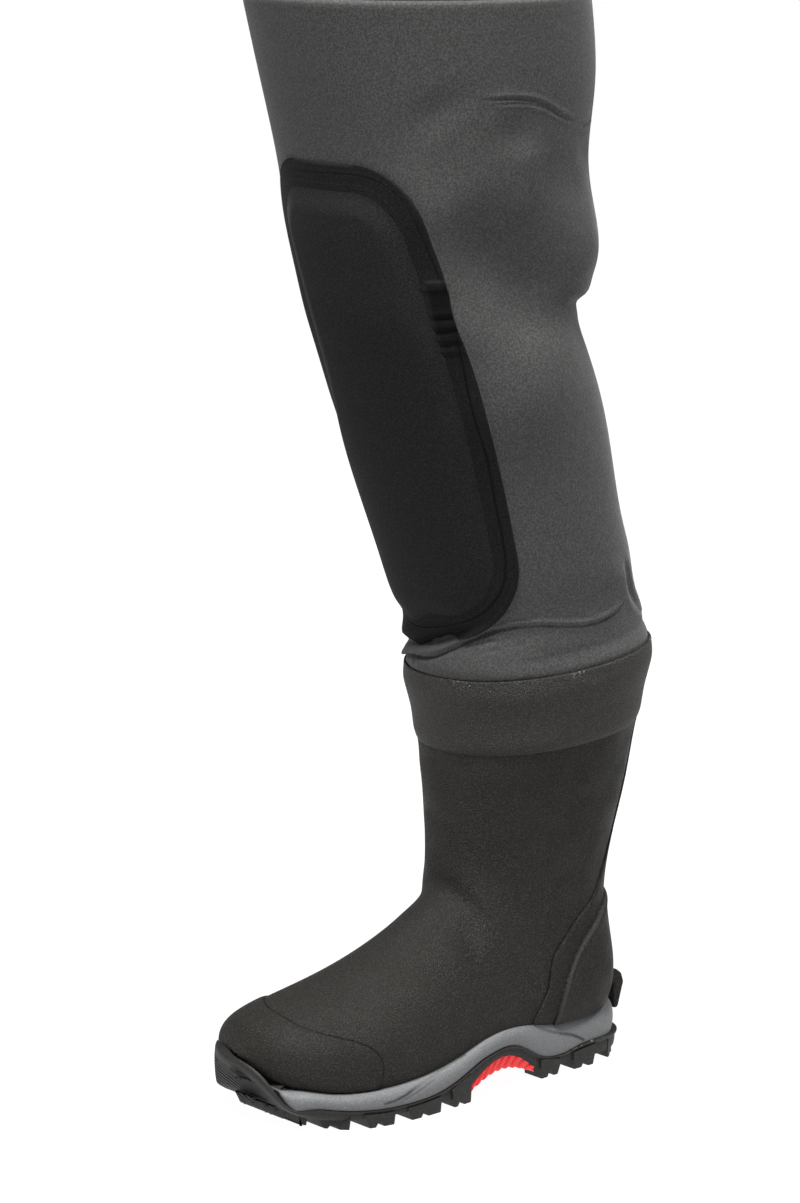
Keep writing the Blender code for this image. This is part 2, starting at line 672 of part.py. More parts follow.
def make_kick_spur():
    """Ledge at the back of the heel to push the boot off by, hooked over the midsole's back."""
    spur = prism("kick_spur", SPUR_PROFILE, 1, -SPUR_HALF_WIDTH, SPUR_HALF_WIDTH, PARTS)
    spur.data.materials.append(TREAD_RUBBER)
    edge = spur.modifiers.new("edge", "BEVEL")
    edge.width = SPUR_ROUND * MM
    edge.segments = 2
    edge.limit_method = "ANGLE"
    return boolean(spur, "DIFFERENCE", boot_form("spur_seat", 3 * GAP + 2 * OVERLAY, 16.0))


def make_cuff_band():
    places, angles = grid(CUFF_PLACES, ANGLES)
    return patch("cuff_band", boot_point, places, angles, GAP, GAP + CUFF_THICKNESS, RUBBER, closed=True)


def make_leg():
    leg = loft("leg", leg_point(*grid(LEG_PLACES, ANGLES)), PARTS, NEOPRENE, caps=(False, False))
    return shell(leg, LEG_WALL)


def knee_outline(foot, head, outer_inset, inner_inset, corner):
    """Outline of the knee panel seen from the front, inset from the knee edges and with round
    corners; insets and the corner's radius are measured along the cloth."""
    ends = corner * (1 - np.cos(np.radians(np.linspace(0, 90, 7))))
    middle = np.linspace(foot + corner, head - corner, 9)[1:-1]
    heights = np.concatenate([foot + ends, middle, head - ends[::-1]])
    depth = np.minimum(np.minimum(heights - foot, head - heights), corner)
    round_off = corner - np.sqrt(corner**2 - (corner - depth) ** 2)
    place = spline(column(LEG_SECTIONS, "front_height"), np.arange(len(LEG_SECTIONS)), heights)
    radius = spline(np.arange(len(LEG_SECTIONS)), column(LEG_SECTIONS, "half_width"), place)
    knots = column(KNEE_EDGE, "height")
    outer = spline(knots, column(KNEE_EDGE, "outer"), heights)
    inner = spline(knots, column(KNEE_EDGE, "inner"), heights)
    outer = leg_point(place, outer + np.degrees((outer_inset + round_off) / radius))
    inner = leg_point(place, inner - np.degrees((inner_inset + round_off) / radius))
    return np.concatenate([outer, inner[::-1]])[:, 1:]


def make_knee_layer(name, outline, low, high):
    """Layer of the knee panel, a sheet on the leg cut along an outline."""
    places, angles = grid(KNEE_PLACES, KNEE_ANGLES)
    layer = patch(name, leg_point, places, angles, low, high, PAD_CLOTH)
    return boolean(layer, "INTERSECT", prism(name + "_outline", outline, 0, 0.0, FAR, CUTTERS))


def make_knee():
    patch_top = GAP + PATCH_THICKNESS
    pad_seat = patch_top + GAP
    edge = knee_outline(KNEE_FOOT, KNEE_HEAD, 0.0, 0.0, PATCH_CORNER)
    make_knee_layer("knee_patch", edge, GAP, patch_top)
    edge = knee_outline(KNEE_FOOT + PAD_FOOT, KNEE_HEAD - PAD_HEAD, PAD_OUTER, PAD_INNER, PAD_CORNER)
    make_knee_layer("knee_pad", edge, pad_seat, pad_seat + PAD_THICKNESS)


BOOT_SPACE = boot_form("boot_space", GAP, 16.0)
BELOW = below_collar()
make_upper()
make_outsole(BOOT_SPACE)
make_midsole(BOOT_SPACE)
make_arch_insert()
make_insole()
make_toe_cap(BELOW)
make_backstay(BELOW)
make_heel_counter(BELOW)
make_kick_spur()
make_cuff_band()
make_leg()
make_knee()
for cutter in CUTTERS.objects:
    cutter.hide_render = True
    cutter.display_type = "WIRE"
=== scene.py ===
"""Looks of the left wader leg with its boot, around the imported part.

Stations run forward from the back of the heel, sides run out towards the little toe, and heights run
up from the floor, all in millimetres. Mesh points are turned into metres as they are made.
"""

import math
from collections import namedtuple

import bmesh
import bpy
import numpy as np
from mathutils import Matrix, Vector
from mathutils.kdtree import KDTree

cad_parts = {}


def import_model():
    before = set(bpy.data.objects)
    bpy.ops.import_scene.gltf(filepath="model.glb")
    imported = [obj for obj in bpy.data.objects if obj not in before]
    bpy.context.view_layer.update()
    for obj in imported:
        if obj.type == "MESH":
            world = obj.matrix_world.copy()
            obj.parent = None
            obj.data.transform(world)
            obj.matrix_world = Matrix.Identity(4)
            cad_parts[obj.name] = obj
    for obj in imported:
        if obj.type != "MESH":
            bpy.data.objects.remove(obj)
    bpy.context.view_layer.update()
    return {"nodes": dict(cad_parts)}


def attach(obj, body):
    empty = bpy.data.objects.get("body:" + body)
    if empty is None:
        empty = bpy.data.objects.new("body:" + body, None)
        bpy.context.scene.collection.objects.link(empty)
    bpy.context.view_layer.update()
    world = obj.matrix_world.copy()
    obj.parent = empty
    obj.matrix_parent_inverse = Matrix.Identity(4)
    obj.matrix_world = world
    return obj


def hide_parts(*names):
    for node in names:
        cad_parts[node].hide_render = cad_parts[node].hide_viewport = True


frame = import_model()

MM = 0.001

# Sizes of the part
LAST_LENGTH = 284.0
HALF_BALL = 53.0
RUBBER_WALL = 3.0
LEG_WALL = 4.5
GAP = 0.3
SOLE_BACK = -4.0
SOLE_FRONT = 287.0
HEEL_ROUND = 42.0
TOE_ROUND = 80.0
HEEL_ROUND_END = SOLE_BACK + HEEL_ROUND
TOE_ROUND_START = SOLE_FRONT - TOE_ROUND
ROUND_POWER = 2.3
LUG_DEPTH = 6.0
LUG_ROOT = 2.5
LUG_DRAW = 1.0
LUG_PROUD = 1.0
TOE_UNDERCUT = 9.0
LUG_UNDERCUT = 25.0
LUG_UNDERCUT_START = 232.0
LUG_UNDERCUT_END = 260.0
TOE_SPRING = 14.0
TOE_SPRING_START = 246.0
HEEL_SPRING = 4.0
HEEL_SPRING_START = 14.0
HEEL_FLARE = 5.0
SIDE_BULGE = 1.0
BUMPER_RISE = 13.0
BUMPER_RISE_START = 272.0
BUMPER_PEAK = 282.0
OVERLAY = 1.2
CUFF_THICKNESS = 1.2
CUFF_FOOT = 18.0
RIM = 20.0
CAP_STATION = 258.0
CAP_MIDDLE = 6.0
CAP_OUTER_SWEEP = 62.0
CAP_INNER_SWEEP = 32.0
CAP_POWER = 2.6
STRIP_FOOT = 156.0
STRIP_TOP = 226.0
STRIP_DEPTH = 11.5
SPUR_HALF_WIDTH = 15.0
ARCH_BACK = 84.0
ARCH_FRONT = 143.0
ARCH_RIBS = 9
ARCH_END_HEIGHT = 7.0
ARCH_CROWN = 8.0
ARCH_INSET = 2.5
RIB_DEPTH = 1.3
KNEE_FOOT = 292.0
KNEE_HEAD = 594.0
PATCH_THICKNESS = 1.8
PATCH_CORNER = 40.0
PAD_THICKNESS = 3.0
PAD_FOOT = 14.0
PAD_HEAD = 16.0
PAD_OUTER = 16.0
PAD_INNER = 12.0
PAD_CORNER = 30.0
HEEL_REST_STATION = 34.0
BUMPER_REACH = 273.0
JOINT_LOW_STATION = 271.0
JOINT_LOW_SPREAD = 9.0
JOINT_LOW_DROP = 6.0
MIDSOLE_FRONT = 277.0

Section = namedtuple(
    "Section",
    "front_station front_height back_station back_height middle half_width widest front_power back_power",
)
BOOT_SECTIONS = [
    Section(0.988, 49.5, 0.988, 39.0, -9.0, 0.20, 0.48, 2.1, 2.1),
    Section(0.973, 57.0, 0.973, 31.0, -9.0, 0.47, 0.46, 2.2, 2.4),
    Section(0.945, 63.0, 0.945, 25.5, -8.5, 0.69, 0.42, 2.3, 2.9),
    Section(0.893, 68.5, 0.893, 20.0, -7.0, 0.88, 0.36, 2.3, 3.6),
    Section(0.820, 74.5, 0.820, 16.5, -4.0, 0.985, 0.32, 2.3, 4.4),
    Section(0.735, 82.5, 0.730, 15.0, -1.0, 1.01, 0.30, 2.2, 4.8),
    Section(0.650, 93.0, 0.630, 15.0, 1.0, 0.96, 0.30, 2.1, 4.8),
    Section(0.575, 104.5, 0.520, 17.0, 2.0, 0.88, 0.32, 2.05, 4.4),
    Section(0.511, 115.0, 0.410, 20.0, 2.0, 0.83, 0.36, 2.05, 3.9),
    Section(0.4605, 126.0, 0.300, 22.0, 1.5, 0.81, 0.40, 2.05, 3.5),
    Section(0.456, 136.0, 0.190, 22.0, 1.0, 0.82, 0.44, 2.1, 3.2),
    Section(0.4565, 146.0, 0.090, 23.5, 0.5, 0.83, 0.47, 2.1, 3.0),
    Section(0.4556, 156.0, 0.024, 36.0, 0.0, 0.85, 0.49, 2.1, 2.8),
    Section(0.4551, 166.0, 0.0094, 62.0, 0.0, 0.87, 0.50, 2.1, 2.6),
    Section(0.4544, 173.0, 0.0282, 100.0, 0.0, 0.89, 0.50, 2.1, 2.45),
    Section(0.453, 181.0, 0.0106, 140.0, 0.0, 0.93, 0.50, 2.15, 2.35),
    Section(0.453, 191.0, -0.024, 178.0, 0.0, 1.01, 0.50, 2.15, 2.3),
    Section(0.4515, 202.0, -0.0435, 208.0, 0.0, 1.09, 0.50, 2.2, 2.25),
    Section(0.451, 216.0, -0.056, 228.0, 0.0, 1.175, 0.50, 2.2, 2.2),
    Section(0.465, 240.0, -0.0745, 254.5, 0.0, 1.285, 0.50, 2.2, 2.2),
    Section(0.4724, 264.0, -0.08, 280.0, 0.0, 1.33, 0.50, 2.2, 2.2),
]
LEG_SECTIONS = [
    Section(128.4, 250.0, -17.0, 253.0, 0.0, 64.0, 0.5, 2.2, 2.2),
    Section(130.0, 264.0, -18.6, 280.0, 0.0, 66.6, 0.5, 2.2, 2.2),
    Section(137.0, 276.0, -15.5, 301.0, 0.0, 68.5, 0.5, 2.2, 2.2),
    Section(133.5, 293.0, -7.8, 322.0, 0.0, 69.5, 0.5, 2.2, 2.2),
    Section(140.0, 315.0, -1.0, 345.0, 0.0, 73.0, 0.5, 2.2, 2.2),
    Section(150.0, 342.0, 7.6, 371.0, 0.0, 76.0, 0.5, 2.15, 2.15),
    Section(167.0, 385.0, 16.3, 410.0, 0.0, 79.8, 0.5, 2.1, 2.1),
    Section(184.0, 430.0, 27.7, 447.0, 0.0, 83.3, 0.5, 2.1, 2.1),
    Section(201.0, 476.0, 43.5, 481.0, 0.0, 86.0, 0.5, 2.1, 2.1),
    Section(210.0, 501.0, 46.4, 500.0, 0.0, 87.0, 0.5, 2.1, 2.1),
    Section(216.0, 526.0, 32.5, 526.0, 0.0, 92.0, 0.5, 2.1, 2.1),
    Section(222.0, 556.0, 36.0, 558.0, 0.0, 95.0, 0.5, 2.1, 2.1),
    Section(228.0, 592.0, 42.5, 595.0, 0.0, 96.5, 0.5, 2.1, 2.1),
    Section(240.0, 640.0, 38.1, 640.0, 0.0, 101.0, 0.5, 2.1, 2.1),
    Section(252.0, 690.0, 43.4, 690.0, 0.0, 105.0, 0.5, 2.1, 2.1),
]
LEG_TOP = len(LEG_SECTIONS) - 1.0

Plan = namedtuple("Plan", "station middle half_width")
SOLE_PLAN = [
    Plan(-4.0, 0.0, 39.0),
    Plan(34.0, 0.0, 39.0),
    Plan(67.0, 1.0, 40.0),
    Plan(100.0, 2.0, 43.0),
    Plan(143.0, 2.5, 48.5),
    Plan(186.0, 1.5, 55.0),
    Plan(219.0, -1.5, 57.0),
    Plan(253.0, -6.0, 57.0),
    Plan(287.0, -10.0, 57.0),
]

Side = namedtuple("Side", "station tread joint collar")
SOLE_SIDE = [
    Side(-4.0, 8.0, 15.2, 40.5),
    Side(10.0, LUG_DEPTH, 15.5, 36.5),
    Side(28.0, LUG_DEPTH, 16.5, 33.5),
    Side(42.0, LUG_DEPTH, 15.5, 33.0),
    Side(54.0, LUG_DEPTH, 13.0, 33.0),
    Side(65.0, LUG_DEPTH, 12.5, 33.5),
    Side(76.0, LUG_DEPTH, 14.5, 35.5),
    Side(86.0, 11.0, 19.5, 37.5),
    Side(97.0, 18.5, 25.5, 39.0),
    Side(109.0, 22.5, 28.5, 39.5),
    Side(121.0, 21.5, 27.5, 38.5),
    Side(133.0, 16.5, 25.0, 36.0),
    Side(143.0, 10.5, 21.5, 33.0),
    Side(154.0, LUG_DEPTH, 17.5, 30.0),
    Side(172.0, LUG_DEPTH, 13.0, 26.5),
    Side(195.0, LUG_DEPTH, 11.0, 24.0),
    Side(229.0, LUG_DEPTH, 11.5, 22.5),
    Side(253.0, 7.0, 14.5, 24.0),
    Side(268.0, 9.5, 19.5, 26.0),
    Side(276.0, 14.0, 26.0, 28.0),
    Side(282.0, 20.5, 35.5, 36.5),
    Side(287.0, 29.0, 42.5, 43.5),
]

Lug = namedtuple("Lug", "first last width offset", defaults=[0.0])
EDGE_LUGS = [
    Lug(2.0, 15.0, 19.0),
    Lug(28.0, 49.0, 19.0),
    Lug(60.0, 79.0, 19.0),
    Lug(144.0, 163.0, 22.0),
    Lug(172.0, 200.0, 24.0),
    Lug(210.0, 231.0, 24.0),
    Lug(239.0, 253.0, 22.0),
]
MIDDLE_LUGS = [
    Lug(6.0, 20.0, 12.0),
    Lug(26.0, 42.0, 26.0),
    Lug(52.0, 66.0, 26.0),
    Lug(152.0, 165.0, 36.0),
    Lug(172.0, 184.0, 40.0),
    Lug(191.0, 206.4, 40.0),
    Lug(214.0, 227.0, 40.0),
    Lug(235.0, 247.0, 40.0),
    Lug(255.0, 262.5, 32.0, 16.5),
    Lug(255.0, 262.5, 24.0, -14.5),
]

Edge = namedtuple("Edge", "station height")
BACKSTAY_EDGE = [
    Edge(87, 20),
    Edge(86.5, 36),
    Edge(80, 49.5),
    Edge(74.8, 60),
    Edge(71.5, 78),
    Edge(63, 90.5),
    Edge(52.5, 102.5),
    Edge(35, 116),
    Edge(24, 132),
]
COUNTER_EDGE = [
    Edge(69, 20),
    Edge(67, 34),
    Edge(62.5, 56.5),
    Edge(57.3, 71),
    Edge(52, 82),
    Edge(39.5, 96),
    Edge(24, 107.5),
    Edge(-5, 119),
]
SPUR_PROFILE = [
    Edge(-9.5, 25),
    Edge(-14.5, 42),
    Edge(-12.5, 48),
    Edge(-8, 51.5),
    Edge(8, 51.5),
    Edge(8, 42),
    Edge(-5.8, 42),
    Edge(-5.8, 25),
]

Knee = namedtuple("Knee", "height outer inner")
KNEE_EDGE = [
    Knee(285.0, 34.0, 143.0),
    Knee(340.0, 33.0, 143.0),
    Knee(400.0, 31.9, 138.0),
    Knee(450.0, 31.9, 124.0),
    Knee(484.0, 33.0, 119.0),
    Knee(518.0, 38.0, 119.0),
    Knee(545.0, 43.0, 121.0),
    Knee(585.0, 46.5, 124.0),
]

# Creases as lines of points on the surface: half width and depth of the trough, which is a swell when the
# depth is below nought, the heights of the ridges left and right of it, looking along the line from
# outside, and how far it sags
Crease = namedtuple("Crease", "points width trough left right sag", defaults=[0.0, 0.0, 0.0])
LEG_CREASES = [
    # The leg slouches over a fold above the boot's rim: hollow, lip and shadowed foot of the lip
    Crease(
        [
            (100, -62, 284), (118, -46, 278.5), (128.5, -31, 280.8), (133.5, -12, 285),
            (132.5, 6, 290), (129, 22, 297), (122, 38, 303.5),
        ],
        3.8, 6.0,
    ),
    Crease(
        [
            (100, -61, 278), (119, -43, 273.8), (131.5, -26, 277.3), (136, -3, 281),
            (133.5, 15, 286.8), (128.5, 29.5, 294.5), (119, 46, 301),
        ],
        2.7, -2.5, 0.0, 0.0, 1.3,
    ),
    Crease(
        [
            (100, -60, 274), (119, -43, 270.5), (131.5, -27, 274.5), (136.3, -3, 276.8), (135.8, 6, 279),
            (131.9, 21, 286.8), (126.5, 33, 294), (119, 46, 299.3), (108, 57, 302),
        ],
        1.5, 4.0, 0.6,
    ),
    Crease(
        [
            (124, 38, 296.5), (108.4, 56.8, 302.3), (78.7, 68.1, 300.3), (55.1, 68.6, 300.5),
            (36.6, 65.6, 306), (24, 60, 315),
        ],
        1.1, 1.2, 1.0, 0.2,
    ),
    # Short wrinkles round the lip
    Crease([(131, 20, 283.5), (126, 33, 289), (119, 46, 293)], 1.3, 1.1, 0.4, 0.3),
    Crease([(130, 24, 280), (124, 37, 284.5), (117, 48, 287)], 1.3, 0.8, 0.3, 0.2),
    Crease([(133, -22, 277), (131, -25, 272), (129, -28, 268)], 1.5, 0.9, 0.4, 0.3),
    Crease([(135, -14, 276), (134, -16, 271), (132, -18, 267)], 1.4, 0.8, 0.4, 0.3),
    Crease([(120, 30, 309), (112, 46, 309), (100, 58, 308)], 2.5, 0.8, 0.6, 0.0),
    # The calf pulls down to the fold at the back
    Crease([(31, 64, 338), (26, 62, 325), (20, 58, 312), (10, 48, 300), (0, 34, 292)], 3.0, 1.5, 1.2, 0.8),
    Crease([(60, 70, 340), (40, 68, 326), (28, 63, 312)], 9.0, -1.4),
    # Fine double crease above the knee
    Crease(
        [(178, 92.5, 633), (156.8, 98.8, 633.7), (134.1, 99.7, 630.2), (116, 97.1, 621.9), (98, 91, 616)],
        1.1, 0.9, 0.5, 0.2,
    ),
    Crease([(168, 96, 630.5), (150, 99, 630.5), (130, 99.3, 627), (114, 96, 619.5)], 0.9, 0.7, 0.0, 0.2),
    Crease([(92, 88, 612.5), (79, 81, 614.5), (66, 70, 618)], 1.5, 0.9, 0.3, 0.3),
    # The knee overhangs a wide hollow on its side; a soft ridge runs down it, and the calf swells below
    Crease([(206, 76, 640), (198, 80, 628), (188, 85, 614)], 18.0, 1.4),
    Crease(
        [(188, 79, 576), (178, 82, 555), (161, 86, 534), (140, 89, 519.5), (114.5, 87.5, 509), (87, 79, 503)],
        26.0, 8.0,
    ),
    Crease([(182, 86, 588), (162, 91, 562), (138, 93, 542), (108, 90, 526), (84, 80, 514)], 38.0, 4.0),
    Crease([(160, 97, 628), (152, 97, 612), (148, 96, 594)], 14.0, 1.3),
    Crease([(144, 96.5, 616), (140.4, 96.3, 596), (139.6, 94.7, 570), (140, 94, 548)], 11.0, -1.7),
    Crease([(212, 56, 602), (197, 71, 570), (186, 74.5, 546), (172, 77, 508)], 13.0, -1.2),
    Crease([(170, 80, 470), (148, 84, 456), (116, 83, 442), (80, 74, 430)], 34.0, -5.0),
    Crease([(84, 84, 576), (76, 79.5, 548), (86, 82, 518)], 15.0, -1.6),
    Crease([(114, 95, 604), (104, 92, 582), (97, 90, 560)], 15.0, 1.2),
    # Notch behind the knee
    Crease(
        [(104, 85, 506), (84, 76, 503), (64, 60, 501), (50, 35, 500), (46, 0, 500), (50, -35, 500)],
        4.5, 3.0, 1.6, 0.4,
    ),
    Crease([(96, 88, 600), (84, 83, 598), (70, 74, 596)], 7.0, 1.2, 0.5, 0.4),
]
CREASE_REACH = 4.0
CREASE_STEPS = 60
CREASE_TAPER = (0.18, 0.5)
RIDGE_PLACE = 2.0
RIDGE_SPREAD = 1.6

# Swell of the leg over the boot's rim, and how far above the rim it starts, is full, falls and ends
RIM_SWELL = 3.2
RIM_SWELL_START = -2.0
RIM_SWELL_FULL = 0.0
RIM_SWELL_FALL = 3.0
RIM_SWELL_END = 14.0

# Dome that shuts the toe, as a share of a section's place and in millimetres
TIP_SPAN = 0.5
TIP_DOME = 2.5
TIP_ANGLES = np.arange(0, 360, 5.0)

# Row of the boot's sections from which their back ends run up the heel
HEEL_ROW = 12
END_MARGIN = 0.01
AROUND = np.arange(0, 360, 1.5)


def spline(knots, values, at):
    """Natural cubic spline through the values at the knots, read at the given places."""
    knots, values, at = (np.asarray(v, float) for v in (knots, values, at))
    gap = np.diff(knots)
    slope = np.diff(values) / gap
    matrix = np.eye(len(knots))
    bend = np.zeros(len(knots))
    for i in range(1, len(knots) - 1):
        matrix[i, i - 1 : i + 2] = gap[i - 1], 2 * (gap[i - 1] + gap[i]), gap[i]
        bend[i] = 6 * (slope[i] - slope[i - 1])
    bend = np.linalg.solve(matrix, bend)
    i = np.clip(np.searchsorted(knots, at) - 1, 0, len(gap) - 1)
    a = (knots[i + 1] - at) / gap[i]
    b = (at - knots[i]) / gap[i]
    curve = ((a**3 - a) * bend[i] + (b**3 - b) * bend[i + 1]) * gap[i] ** 2 / 6
    return a * values[i] + b * values[i + 1] + curve


def column(table, name):
    return np.array([getattr(row, name) for row in table])


def read(table, name, station):
    return spline(column(table, "station"), column(table, name), station)


def section_point(table, length, width, place, angle):
    """Points of a form lofted through a table's sections. place counts the rows; angle is 0 at the
    outer side, 90 at the front, 180 at the inner side and 270 at the sole or the back."""
    place, angle = np.broadcast_arrays(np.asarray(place, float), np.asarray(angle, float))
    row = {name: spline(np.arange(len(table)), column(table, name), place) for name in Section._fields}
    out = np.cos(np.radians(angle))
    fore = np.sin(np.radians(angle))
    power = 2 / np.where(fore >= 0, row["front_power"], row["back_power"])
    reach = np.where(fore >= 0, 1 - row["widest"], row["widest"])
    share = row["widest"] + np.sign(fore) * np.abs(fore) ** power * reach
    side = row["middle"] + row["half_width"] * width * np.sign(out) * np.abs(out) ** power
    station = (row["back_station"] + share * (row["front_station"] - row["back_station"])) * length
    height = row["back_height"] + share * (row["front_height"] - row["back_height"])
    return np.stack([station, side, height], axis=-1)


def boot_point(place, angle):
    return section_point(BOOT_SECTIONS, LAST_LENGTH, HALF_BALL, place, angle)


def toe_point(place, angle):
    """Points of the boot, and below place nought of a dome that shuts its toe."""
    ring = boot_point(np.maximum(place, 0.0), angle)
    middle = boot_point(0.0, TIP_ANGLES).mean(0)
    share = 1 + np.minimum(place, 0.0) / TIP_SPAN
    dome = middle + (ring - middle) * share[..., None]
    dome[..., 0] += TIP_DOME * (1 - share**2)
    return dome


def leg_point(place, angle):
    return section_point(LEG_SECTIONS, 1.0, 1.0, place, angle)


def normals_of(form, place, angle):
    """Outward normals of a form."""
    step = 0.02
    turn = 0.4
    along = form(place + step, angle) - form(place - step, angle)
    around = form(place, angle + turn) - form(place, angle - turn)
    normal = np.cross(along, around)
    return normal / np.linalg.norm(normal, axis=-1, keepdims=True)


def grid(places, angles):
    return np.meshgrid(places, angles, indexing="ij")


def stretches(*parts):
    """Even rows along stretches that follow each other, each given by its start, its end and its count."""
    rows = [np.linspace(*part) for part in parts]
    return np.concatenate(rows[:1] + [row[1:] for row in rows[1:]])


def world(points):
    """Millimetres from the back of the heel, as metres from the origin."""
    return (np.asarray(points, float) - (HEEL_REST_STATION, 0.0, 0.0)) * MM


def ramp(low, high, value):
    """Share of the way from low to high, from nought to one."""
    return np.clip((value - low) / (high - low), 0, 1)


def smooth_step(low, high, value):
    share = ramp(low, high, value)
    return share * share * (3 - 2 * share)


def bell(value, spread):
    """One at nought, falling off on both sides."""
    return np.exp(-((value / spread) ** 2))


def smooth_line(points, count):
    """Points along a smooth line through the given ones, evenly spread, and its directions."""
    points = np.asarray(points, float)
    length = np.concatenate([[0], np.cumsum(np.linalg.norm(np.diff(points, axis=0), axis=1))])
    at = np.linspace(0, length[-1], count)
    line = np.stack([spline(length, points[:, k], at) for k in range(points.shape[1])], 1)
    direction = np.gradient(line, axis=0)
    return line, direction / np.linalg.norm(direction, axis=1, keepdims=True)


def nearest_offset(points, line):
    """For each point the number of the line's nearest point, and the way from there to the point."""
    span = points[:, None, :] - line[None]
    nearest = np.argmin((span**2).sum(-1), axis=1)
    return nearest, span[np.arange(len(nearest)), nearest]


def crease_field(points, normals, creases):
    """How far creases push each point out along its normal, and how far they let it sag."""
    shape = points.shape[:-1]
    flat = points.reshape(-1, 3)
    normal = normals.reshape(-1, 3)
    push = np.zeros(len(flat))
    sag = np.zeros(len(flat))
    for crease in creases:
        reach = CREASE_REACH * crease.width
        line, direction = smooth_line(crease.points, CREASE_STEPS)
        near = np.all((flat > line.min(0) - reach) & (flat < line.max(0) + reach), axis=1)
        if not near.any():
            continue
        nearest, offset = nearest_offset(flat[near], line)
        left = np.cross(normal[near], direction[nearest])
        distance = np.linalg.norm(offset, axis=1)
        distance = np.where((offset * left).sum(1) >= 0, distance, -distance) / crease.width
        along = nearest / (len(line) - 1)
        length = np.linalg.norm(np.diff(line, axis=0), axis=1).sum()
        taper = np.clip(2 * crease.width / length, *CREASE_TAPER)
        fade = smooth_step(0, taper, along) * smooth_step(1, 1 - taper, along)
        ridges = crease.left * bell(distance - RIDGE_PLACE, RIDGE_SPREAD)
        ridges += crease.right * bell(distance + RIDGE_PLACE, RIDGE_SPREAD)
        middle = bell(distance, 1.0)
        push[near] += fade * (ridges - crease.trough * middle)
        sag[near] += fade * crease.sag * middle
    return push.reshape(shape), sag.reshape(shape)


def rim_height(station):
    """Height of the boot's rim at a station."""
    rim = BOOT_SECTIONS[-1]
    share = (station / LAST_LENGTH - rim.back_station) / (rim.front_station - rim.back_station)
    return rim.back_height + share * (rim.front_height - rim.back_height)


def leg_surface(place, angle):
    """Points and normals of the creased leg, swollen above the boot's rim."""
    points = leg_point(place, angle)
    normals = normals_of(leg_point, place, angle)
    push, sag = crease_field(points, normals, LEG_CREASES)
    above = points[..., 2] - rim_height(points[..., 0])
    rise = smooth_step(RIM_SWELL_START, RIM_SWELL_FULL, above)
    fall = smooth_step(RIM_SWELL_END, RIM_SWELL_FALL, above)
    moved = points + (push + RIM_SWELL * rise * fall)[..., None] * normals
    moved[..., 2] -= sag
    return moved, normals


def sole_edges(station):
    """Inner and outer edge of the sole at a station."""
    half = read(SOLE_PLAN, "half_width", station)
    heel = ramp(HEEL_ROUND_END, SOLE_BACK, station)
    toe = ramp(TOE_ROUND_START, SOLE_FRONT, station)
    for share in (heel, toe):
        half = half * (1 - share**ROUND_POWER) ** (1 / ROUND_POWER)
    middle = read(SOLE_PLAN, "middle", station)
    return middle - half, middle + half


def undercut(station):
    """How far the tread's edge is drawn in under the toe."""
    return TOE_UNDERCUT * ramp(TOE_ROUND_START, SOLE_FRONT, station) ** 2


def ground(station):
    """Height of the lugs' feet: flat on the floor but for the toe spring and the back of the heel."""
    toe = ramp(TOE_SPRING_START, SOLE_FRONT, station)
    heel = ramp(HEEL_SPRING_START, SOLE_BACK, station)
    return TOE_SPRING * toe**2 + HEEL_SPRING * heel**2


def lug_edges(station):
    """Inner and outer sides of the lugs at a station, drawn in under the toe."""
    inner, outer = sole_edges(station)
    inset = LUG_UNDERCUT * ramp(LUG_UNDERCUT_START, LUG_UNDERCUT_END, station) ** 2 - LUG_PROUD
    return inner + inset, outer - inset


def bumper_rise(station):
    """How much higher the toe bumper reaches on its inner side than on its outer side."""
    climb = ramp(BUMPER_RISE_START, BUMPER_PEAK, station)
    fall = ramp(SOLE_FRONT, BUMPER_PEAK, station)
    return BUMPER_RISE * climb * fall


def joint_line(station):
    """Height of the joint between outsole and midsole, low behind the toe bumper."""
    low = bell(station - JOINT_LOW_STATION, JOINT_LOW_SPREAD)
    return read(SOLE_SIDE, "joint", station) - JOINT_LOW_DROP * low


def across_sole(points):
    """Stations of points, kept within the sole, and the share of its width from the outer edge."""
    station = np.clip(points[..., 0], SOLE_BACK + END_MARGIN, SOLE_FRONT - END_MARGIN)
    inner, outer = sole_edges(station)
    return station, ramp(outer, inner, points[..., 1])


def collar_height(points):
    """Top edge of the midsole or of the toe bumper at points of the boot."""
    station, share = across_sole(points)
    top = np.maximum(read(SOLE_SIDE, "collar", station), read(SOLE_SIDE, "joint", station))
    return top + share * bumper_rise(station) + GAP


def heel_line(height):
    """Station of the back of the boot at a height."""
    rows = BOOT_SECTIONS[HEEL_ROW:]
    return LAST_LENGTH * spline(column(rows, "back_height"), column(rows, "back_station"), height)


# Meshes


def link(name, data):
    made = bpy.data.objects.new(name, data)
    bpy.context.scene.collection.objects.link(made)
    return made


def smooth_piece(name, mesh, material):
    mesh.materials.append(material)
    mesh.polygons.foreach_set("use_smooth", [True] * len(mesh.polygons))
    return link(name, mesh)


def set_attribute(piece, name, values):
    field = piece.data.attributes.new(name, "FLOAT", "POINT")
    field.data.foreach_set("value", np.asarray(values, float).ravel())


def new_piece(name, points, faces, material, attributes=None):
    mesh = bpy.data.meshes.new(name)
    mesh.from_pydata(world(points).tolist(), [], faces)
    piece = smooth_piece(name, mesh, material)
    for key, values in (attributes or {}).items():
        set_attribute(piece, key, values)
    return piece


def block_piece(name, body, material):
    """Piece from a body of blocks."""
    mesh = bpy.data.meshes.new(name)
    body.to_mesh(mesh)
    body.free()
    return smooth_piece(name, mesh, material)


